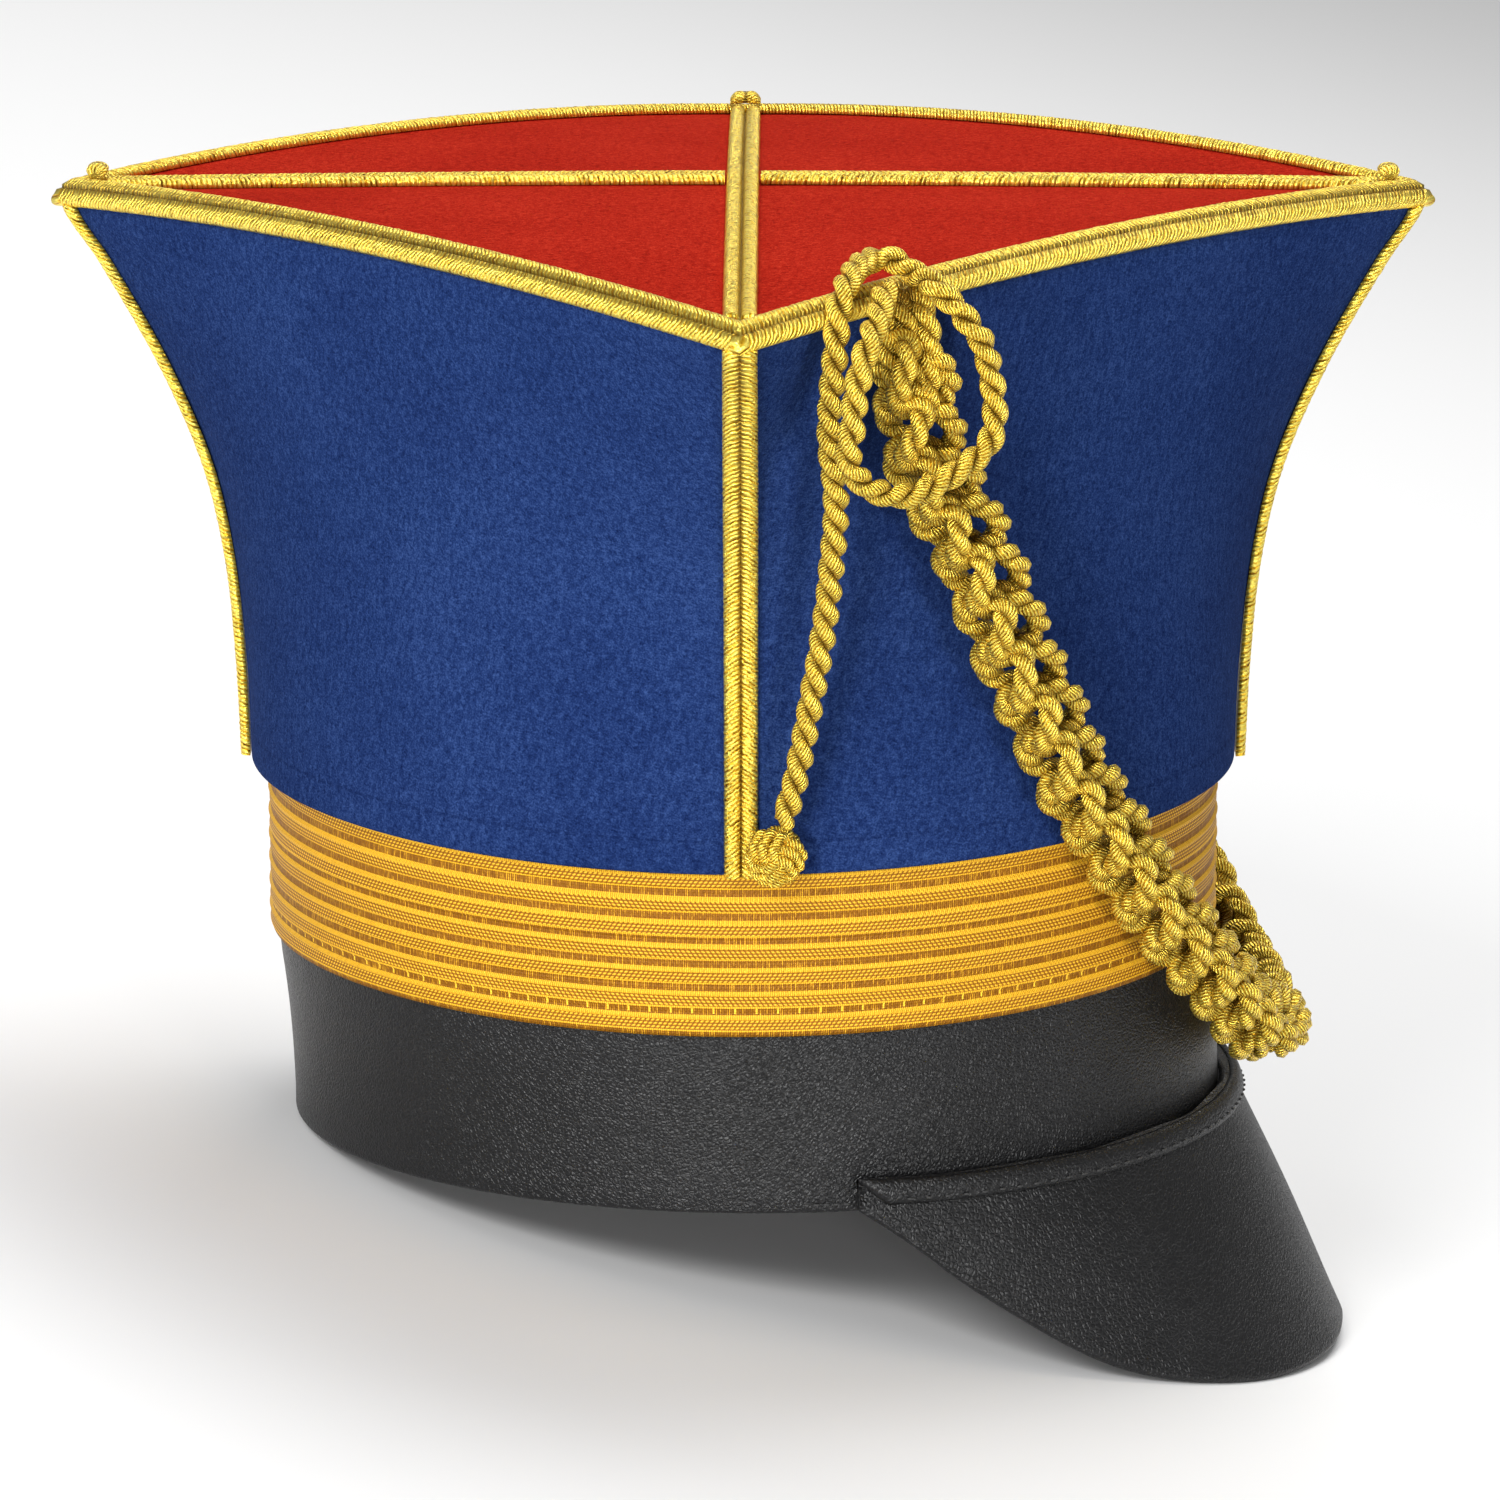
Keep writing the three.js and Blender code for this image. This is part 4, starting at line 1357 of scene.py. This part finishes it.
@dataclass
class Crown:
    """The felt crown: four panels with their hems turned under, and the red top.

    The cloth waves a little everywhere. At the pull, beside the twisted cord, it has one slanting
    dent: its line goes through a place round the crown and a share of the way up, and leans.
    """

    maker: Maker
    blue: bpy.types.Material
    red: bpy.types.Material
    wall: float = 2.0
    fold: float = 1.1
    fold_rows: int = 6
    under_rows: int = 3
    columns: int = 84
    rows: int = 64
    top_cells: int = 96
    top_share: float = 0.9985
    wave_depth: float = 0.35
    waves: float = 0.021
    pull_depth: float = 2.8
    pull_width: float = 0.03
    pull_side: float = 3.045
    pull_rise: float = 0.75
    pull_slant: float = 0.345
    pull_middle: float = 0.86
    pull_height: float = 0.16

    def panel(self, corner: int, name: str) -> None:
        """Makes one felt panel, with its lower edge folded under to the headband.

        Args:
            corner: the corner that it starts from.
            name: which panel it is.
        """
        form = self.maker.form
        low = self.under_rows + self.fold_rows
        count = low + self.rows

        def place(u: float, v: float) -> Vector:
            """The panel's point at shares round it and up it."""
            side = corner + min(max(u, HAIR), 1 - HAIR)
            angle = side * QUARTER
            row = round(v * count)
            if row <= self.under_rows:
                tip = form.headband(angle, form.hem(angle), form.gap)
                edge = form.crown(side, 0.0, -self.fold)
                return tip.lerp(edge, row / self.under_rows)
            if row <= low:
                turn = (row - self.under_rows) / self.fold_rows * QUARTER
                point = form.crown(side, 0.0, -self.fold * (1 - math.sin(turn)))
                point.z += self.fold * (1 - math.cos(turn))
                return point
            start = self.fold / (form.rim(side) - form.hem(angle))
            end = form.below_rim(side, self.wall + form.gap)
            share = (row - low) / self.rows
            point = form.crown(side, lerp(start, end, share))
            soft = noise.noise(point * self.waves) * self.wave_depth * math.sin(math.pi * share)
            line = self.pull_side + self.pull_slant * (share - self.pull_rise)
            pull = self.pull_depth * bump(side, line, self.pull_width)
            pull *= bump(share, self.pull_middle, self.pull_height)
            return point + form.oval_out(point) * (soft - pull)

        height = form.crown_height * count / self.rows
        width = 0.5 * math.pi * form.hem_length / 2
        bm = self.maker.mapped(self.columns, count, place, (width, height))
        remap(bm, lambda at: (at.x, at.y - height * low / count))
        self.maker.piece(
            f"felt_wall_{name}", bm, self.blue, "blue_felt", [f"felt_panel_{name}"], wall=self.wall,
        )

    def top(self) -> None:
        """Makes the red top, a little domed."""
        form = self.maker.form

        def place(u: float, v: float) -> Vector:
            """The top's point at shares along two of its edges."""
            a, b = 2 * u - 1, 2 * v - 1
            share = max(abs(a), abs(b))
            if share < HAIR:
                return form.top(0.0, 0.0)
            x, y = (a - b) / share, (a + b) / share
            if x > 0 and y >= 0:
                side = y / 2
            elif x <= 0 and y > 0:
                side = 1 - x / 2
            elif x < 0 and y <= 0:
                side = 2 - y / 2
            else:
                side = 3 + x / 2
            return form.top(min(side, 4 - HAIR), share * self.top_share)

        bm = self.maker.mapped(self.top_cells, self.top_cells, place)
        self.maker.piece("felt_square_top", bm, self.red, "red_felt", ["felt_top"], wall=self.wall)

    def build(self) -> None:
        """Makes all the felt."""
        for corner, name in enumerate(("front_left", "rear_left", "rear_right", "front_right")):
            self.panel(corner, name)
        self.top()


@dataclass
class Braiding:
    """All the gilt braid: round the rim, down the corners and across the top.

    Over the rim's edge and a corner's edge the braid bends within a short distance on either side.
    """

    maker: Maker
    material: bpy.types.Material
    width: float = 7.0
    thickness: float = 2.1
    groove: float = 0.12
    ridge_power: float = 2.2
    section_steps: int = 28
    back_steps: int = 4
    per_edge: int = 400
    row: float = 0.5
    fray: float = 0.16
    fray_period: float = 0.75
    rim_bend: float = 0.5
    rim_lift: float = 0.8
    corner_bend: float = 0.7
    corner_reach: float = 0.02
    corner_tuck: float = 0.5
    hump: float = 0.55
    hump_reach: float = 6.0
    roll_width: float = 4.6
    roll_height: float = 3.0
    roll_round: float = 12.0
    roll_droop: float = 0.9

    def section(self, u: float) -> tuple[float, float]:
        """The braid's outline.

        Args:
            u: share of the way round it.

        Returns:
            How far across, from -1 to 1, and how proud, as a share of the thickness.
        """
        front = self.section_steps / (self.section_steps + self.back_steps)
        if u > front:
            return 1 - 2 * (u - front) / (1 - front), 0.0
        across = 2 * u / front - 1
        ridge = abs(abs(across) - 0.5) / 0.5
        proud = math.sqrt(max(0.0, 1 - ridge ** self.ridge_power))
        return across, max(proud, self.groove if abs(across) < 0.5 else 0.0)

    def sweep(
        self,
        name: str,
        rows: int,
        place: Callable[[float, float, float], Vector],
        length: float,
        nodes: Sequence[str],
    ) -> None:
        """Makes one length of braid.

        Args:
            name: the piece's name.
            rows: how many steps along it.
            place: takes the share along, the distance across and the distance off the cloth to a
                place.
            length: its length in millimetres.
            nodes: the solids that it stands for.
        """
        gap = self.maker.form.gap
        half = self.width / 2

        def point(u: float, v: float) -> Vector:
            """The braid's point at shares round it and along it."""
            across, proud = self.section(u)
            at = (v % 1.0) * length / self.fray_period
            wide = self.fray * noise.noise(Vector((at, across, 0.0)))
            high = self.fray * noise.noise(Vector((at, across * 2, 7.0)))
            return place(v, across * (half + wide), gap + proud * (self.thickness + high))

        columns = self.section_steps + self.back_steps
        bm = self.maker.mapped(columns, rows, point, (1.0, length), joined=True)
        remap(bm, lambda at: (self.section(min(at.x, 1.0))[0] * half, at.y))
        self.maker.close(bm)
        self.maker.piece(name, bm, self.material, "gilt_braid", nodes)

    def rim(self) -> None:
        """The braid round the rim: one ridge on the red top, the other on the panels."""
        form = self.maker.form
        reach = form.top_diagonal / math.sqrt(8)

        def place(v: float, across: float, off: float) -> Vector:
            """The point at a share round the rim, a distance across and a distance off the felt."""
            side = (4 * v) % 4
            step = 0.3 / self.per_edge
            before = form.crown((side - step) % 4, 1.0)
            after = form.crown((side + step) % 4, 1.0)
            out = Vector((after.y - before.y, before.x - after.x, 0)).normalized()
            edge = form.crown(side, 1.0)
            at_corner = abs(side - round(side)) < 0.5 / self.per_edge
            mitre = math.sqrt(2) if at_corner else 1.0
            down = (form.crown(side, form.below_rim(side, self.width / 2)) - edge).normalized()
            away = (out - down * out.dot(down)).normalized()
            on_top = form.top(side, 1 + min(across, 0.0) / reach, off)
            on_side = edge + down * max(across, 0.0) + away * off * mitre
            flat = on_top if across < 0 else on_side
            lifted = edge + UP * off * self.rim_lift + away * off * self.rim_lift * mitre
            return lifted.lerp(flat, min(1.0, abs(across) / self.rim_bend))

        length = 4 * form.top_diagonal / math.sqrt(2)
        self.sweep("braid_round_rim", 4 * self.per_edge, place, length, ["rim_braid"])

    def corner(self, corner: Corner) -> None:
        """The braid down one corner, from the rim's braid to the hem.

        Args:
            corner: the corner.
        """
        form = self.maker.form
        side = corner.value
        top = form.below_rim(side, self.width / 2 - self.corner_tuck)

        def place(v: float, across: float, off: float) -> Vector:
            """The point at a share up the corner, a distance across and a distance off the felt."""
            rise = top * v
            edge = form.crown(side, rise)
            sign = 1 if across >= 0 else -1
            beside = form.crown((side + sign * self.corner_reach) % 4, rise) - edge
            beside.z = 0
            beside.normalize()
            off_way = Vector((beside.y, -beside.x, 0)) * sign
            on_flank = edge + beside * abs(across) + off_way * off
            over_edge = edge + corner.out * off
            return over_edge.lerp(on_flank, min(1.0, abs(across) / self.corner_bend))

        name = corner.name.lower()
        rows = round(form.crown_height / self.row)
        self.sweep(f"braid_down_{name}", rows, place, form.crown_height, [f"corner_braid_{name}"])

    def across_top(self, name: str, corner: Corner, start: float, end: float) -> None:
        """A braid on the red top. The one that crosses its middle has a low hump there.

        Args:
            name: which braid it is.
            corner: the corner that it runs towards.
            start: its start's distance from the top's middle.
            end: its end's distance.
        """
        form = self.maker.form

        def place(v: float, across: float, off: float) -> Vector:
            """The point at a share along, a distance across and a distance off the felt."""
            reach = lerp(start, end, v)
            side = corner.value if reach >= 0 else (corner.value + 2) % 4
            point = form.top(side, abs(reach) / (form.top_diagonal / 2), off) + corner.sideways * across
            if start < 0 < end and off > form.gap:
                point.z += self.hump * bump(reach, 0.0, self.hump_reach)
            return point

        rows = round((end - start) / self.row)
        self.sweep(f"braid_over_{name}", rows, place, end - start, [f"top_braid_{name}"])

    def fold(self, corner: Corner) -> None:
        """The folded end of a top braid: a small roll lying on the rim's braid in the corner.

        Args:
            corner: the corner that it lies in.
        """
        form = self.maker.form
        reach = form.top_diagonal / 2 - self.width
        seat = form.top(corner.value, reach / (form.top_diagonal / 2))
        middle = seat + UP * (self.thickness + 2 * form.gap + self.roll_height / 2)

        def place(u: float, v: float) -> Vector:
            """The roll's point at shares round it and along it."""
            turn = 2 * math.pi * u
            at = 2 * v - 1
            # It is fullest between its middle and its ends, and its ends are rounded.
            full = (1 - 0.5 * abs(at) ** 5) * (0.9 + 0.1 * math.sin(math.pi * abs(at)) ** 2)
            level = UP * (math.sin(turn) * self.roll_height / 2 * full)
            width = corner.out * (math.cos(turn) * self.roll_width / 2 * full)
            droop = UP * (self.roll_droop * abs(at) ** 4)
            return middle + level + width - droop + corner.sideways * (at * self.width / 2)

        name = corner.name.lower()
        bm = self.maker.mapped(36, 24, place, (self.roll_round, self.width), joined=True)
        remap(bm, lambda at: (at.y - self.width / 2, at.x))
        self.maker.close(bm)
        self.maker.piece(f"folded_braid_{name}", bm, self.material, "gilt_braid", [f"braid_roll_{name}"])

    def build(self) -> None:
        """Makes all the braid."""
        form = self.maker.form
        self.rim()
        for corner in Corner:
            self.corner(corner)
        end = form.top_diagonal / 2 - self.width / 2 * (1 + math.sqrt(2)) - 2 * form.gap
        crossing = self.width / 2 + form.gap
        self.across_top("side", Corner.LEFT, -end, end)
        self.across_top("front", Corner.FRONT, crossing, end)
        self.across_top("rear", Corner.REAR, crossing, end)
        for corner in (Corner.FRONT, Corner.LEFT, Corner.REAR):
            self.fold(corner)


@dataclass
class RibbonBand:
    """The ribbed ribbon round the foot of the felt."""

    maker: Maker
    repeats: int = 7
    wall: float = 1.2
    rib: float = 0.6
    around: int = 240
    per_repeat: int = 10

    @property
    def height(self) -> float:
        """The ribbon's usual height."""
        form = self.maker.form
        return form.hem_level - form.gap - form.leather_shown

    def build(self) -> None:
        """Makes the band, its weave standing proud of the wall behind it."""
        form = self.maker.form
        weave = GoldRibbon(self.height / self.repeats)
        outside = self.repeats * self.per_repeat
        count = outside + 2

        def place(u: float, v: float) -> Vector:
            """The band's point at shares round its section and round the hat."""
            angle = 2 * math.pi * v
            low = form.leather_shown - form.band_side_dip * math.sin(angle) ** 2
            high = form.hem(angle) - form.gap
            row = round(u * count) % count
            if row == 0 or row > outside:
                return form.headband(angle, low if row == 0 else high, form.gap)
            share = row / outside
            proud = self.wall + self.rib * weave.proud((share * self.repeats) % 1.0)
            return form.headband(angle, lerp(low, high, share), form.gap + proud)

        length = math.pi * (form.head_length + form.head_width) / 2
        bm = self.maker.mapped(count, self.around, place, (1.0, length), joined=True)
        remap(bm, lambda at: (at.y, min(at.x * count / outside, 1.0) * self.height))
        self.maker.piece("ribbed_ribbon", bm, weave.material(), "gold_ribbon", ["ribbon_band"])


@dataclass
class LeatherWork:
    """The headband, the peak and its welt, with their stitches.

    The bead and the crease run along the headband's lower edge: each has its size, its level and its
    reach. The tables say how much of the peak's reach and drop is left towards its ends.
    """

    maker: Maker
    leather: bpy.types.Material
    peak_leather: bpy.types.Material
    thread: bpy.types.Material
    wall: float = 2.0
    tuck: float = 8.0
    bead: Point = (0.22, 2.6, 1.6)
    crease: Point = (0.16, 5.6, 0.9)
    edge_rows: int = 8
    wall_rows: int = 22
    inner_rows: int = 6
    around: int = 200
    half_angle: float = math.radians(78)
    seam: float = 7.0
    reach: float = 26.0
    drop: float = 56.5
    peak_wall: float = 2.4
    swell: float = 0.55
    full_swell_length: float = 40.0
    lip_rows: int = 8
    face_rows: int = 26
    peak_columns: int = 120
    welt_width: float = 5.5
    welt_thickness: float = 1.8
    welt_sides: int = 18
    welt_rows: int = 140
    stitch_count: int = 64
    stitch_span: float = 0.93
    stitch_share: float = 0.009
    stitch_thickness: float = 0.5
    stitch_inset: float = 1.1
    stitch_lift: float = 1.28
    stitch_sag: float = 0.12
    end_stitches: int = 5
    end_pitch: float = math.radians(1.2)
    end_level: float = 1.9
    reach_left: tuple[tuple[float, float], ...] = (
        (0.0, 1.0), (0.2, 0.955), (0.4, 0.81), (0.615, 0.48), (0.83, 0.2), (0.92, 0.13), (1.0, 0.09),
    )
    drop_left: tuple[tuple[float, float], ...] = (
        (0.0, 1.0), (0.2, 0.99), (0.4, 0.94), (0.615, 0.78), (0.83, 0.43), (0.92, 0.25), (1.0, 0.11),
    )

    def headband(self) -> None:
        """The headband: its lower edge is turned under in a soft roll."""
        form = self.maker.form
        top = form.hem_level + self.tuck
        count = self.edge_rows + self.wall_rows + self.inner_rows

        def place(u: float, v: float) -> Vector:
            """The headband's point at shares round its section and round the head."""
            angle = 2 * math.pi * v
            row = round(u * count) % count
            radius = self.wall / 2
            if row <= self.edge_rows:
                turn = math.pi * row / self.edge_rows
                level = radius - radius * math.sin(turn)
                return form.headband(angle, level, radius * math.cos(turn) - radius)
            row -= self.edge_rows
            if row <= self.inner_rows:
                return form.headband(angle, lerp(radius, top, row / self.inner_rows), -self.wall)
            level = lerp(top, radius, (row - self.inner_rows) / self.wall_rows)
            soft = self.bead[0] * bump(level, *self.bead[1:]) - self.crease[0] * bump(level, *self.crease[1:])
            return form.headband(angle, level, soft)

        bm = self.maker.mapped(count, self.around, place, joined=True)
        self.maker.piece("leather_headband", bm, self.leather, "black_leather", ["headband"])

    def rib(self, turn: float) -> tuple[Vector, Vector, Vector, float]:
        """The line of the peak at one angle.

        Args:
            turn: from -1 at its right end to 1 at its left end.

        Returns:
            Where it leaves the headband, its way down, its way out and its length.
        """
        form = self.maker.form
        angle = turn * self.half_angle
        out = form.headband_out(angle)
        at = abs(turn)
        seam = form.headband(angle, self.seam, form.gap)
        edge = seam + out * self.reach * smooth_table(self.reach_left, at)
        edge -= UP * self.drop * smooth_table(self.drop_left, at)
        fall = edge - seam
        length = fall.length
        fall.normalize()
        off = (out - fall * out.dot(fall)).normalized()
        return seam, fall, off, length

    def peak(self) -> None:
        """The peak, its lip rounded."""
        count = 2 * self.face_rows + self.lip_rows

        def place(u: float, v: float) -> Vector:
            """The peak's point at shares round its section and along it."""
            seam, fall, off, length = self.rib(2 * v - 1)
            row = round(u * count)
            radius = min(self.peak_wall / 2, length / 4)
            if self.face_rows < row <= self.face_rows + self.lip_rows:
                lip = math.pi * (row - self.face_rows) / self.lip_rows
                down = length - radius + radius * math.sin(lip)
                thick = self.peak_wall / 2 * (1 + math.cos(lip))
            else:
                down = (length - radius) * min(row, count - row) / self.face_rows
                thick = self.peak_wall if row <= self.face_rows else 0.0
            swell = self.swell * math.sin(math.pi * min(1.0, down / length)) ** 2
            return seam + fall * down + off * (thick + swell * min(1.0, length / self.full_swell_length))

        bm = self.maker.mapped(count, self.peak_columns, place)
        self.maker.close(bm)
        self.maker.piece("leather_peak", bm, self.peak_leather, "black_leather", ["peak"])

    def welt(self) -> None:
        """The folded strip along the peak's top edge, and its row of stitches."""
        near = self.peak_wall + self.maker.form.gap

        def place(u: float, v: float) -> Vector:
            """The welt's point at shares round its section and along it, narrower at its ends."""
            seam, fall, off, length = self.rib(2 * v - 1)
            from_end = 1 - abs(2 * v - 1)
            width = min(self.welt_width, length) * min(1.0, 0.12 + from_end / 0.045)
            turn = 2 * math.pi * u
            down = width * (0.5 - 0.5 * math.cos(turn))
            proud = self.welt_thickness * max(0.0, math.sin(turn)) ** 0.7
            proud *= (1 - 0.3 * down / width) * min(1.0, 0.3 + from_end / 0.03)
            return seam + fall * down + off * (near + proud)

        bm = self.maker.mapped(self.welt_sides, self.welt_rows, place, joined=True)
        self.maker.close(bm)
        self.maker.piece("peak_edge_welt", bm, self.peak_leather, "black_leather", ["peak_welt"])
        self.stitches(near)

    def stitches(self, near: float) -> None:
        """The row of stitches on the welt, and a few on the headband behind its right end.

        Args:
            near: how far the welt's back lies off the peak's inner face.
        """
        form = self.maker.form
        lines = []
        for i in range(self.stitch_count):
            turn = lerp(-self.stitch_span, self.stitch_span, i / (self.stitch_count - 1))
            seam, fall, off, length = self.rib(turn)
            down = min(self.welt_width - self.stitch_inset, 0.8 * length)
            start = seam + fall * down + off * (near + self.stitch_lift)
            seam, fall, off_after, _ = self.rib(turn + self.stitch_share)
            end = seam + fall * down + off_after * (near + self.stitch_lift)
            lines.append([start, (start + end) / 2 + off * self.stitch_sag, end])
        for i in range(self.end_stitches):
            angles = [-self.half_angle - self.end_pitch * (i + part) for part in (0.7, 1.0, 1.3)]
            lines.append([form.headband(angle, self.end_level, 0.15) for angle in angles])
        whole = bmesh.new()
        for line in lines:
            join(whole, Strand(self.stitch_thickness, 6).mesh(self.maker, Route(line, 0.4, form)))
        self.maker.piece("peak_stitches", whole, self.thread, "black_leather")

    def build(self) -> None:
        """Makes all the leather."""
        self.headband()
        self.peak()
        self.welt()


def main() -> None:
    """Builds the scene: camera and cords first, then the cloth, the braid and the leather."""
    logging.basicConfig(level=logging.INFO, format="%(name)s %(message)s")
    form = HatForm()
    pose = HatPose.from_solids(form)
    studio = Studio(pose)
    studio.camera()
    maker = Maker(form, pose)
    wound = GiltThread(
        "gilt_cord", Lay.WOUND, thread=0.62, slant=0.45, evenness=0.5, wander=0.5, contrast=1.3, level=0.59,
    )
    cord = wound.material()
    HangingCord(maker, cord, Knot(maker, cord).build()).build()
    Festoon(maker, cord).build()
    blue = Felt(
        "blue_felt", deep=(0.003, 0.008, 0.042), shade=(0.0095, 0.023, 0.09), pale=(0.026, 0.056, 0.17),
        stitched=True,
    )
    red = Felt("red_felt", deep=(0.16, 0.003, 0.001), shade=(0.35, 0.012, 0.005), pale=(0.56, 0.042, 0.018))
    Crown(maker, blue.material(), red.material()).build()
    braided = GiltThread(
        "gilt_braid", Lay.BRAIDED, thread=1.05, slant=0.7, evenness=0.35, wander=0.8, contrast=1.7,
        level=0.67,
    )
    Braiding(maker, braided.material()).build()
    RibbonBand(maker).build()
    LeatherWork(
        maker, Leather("headband_leather").material(), Leather("peak_leather", grain=1000.0).material(),
        Thread("black_thread", (0.02, 0.02, 0.02)).material(),
    ).build()
    studio.floor()
    studio.light()


if __name__ == "__main__":
    main()
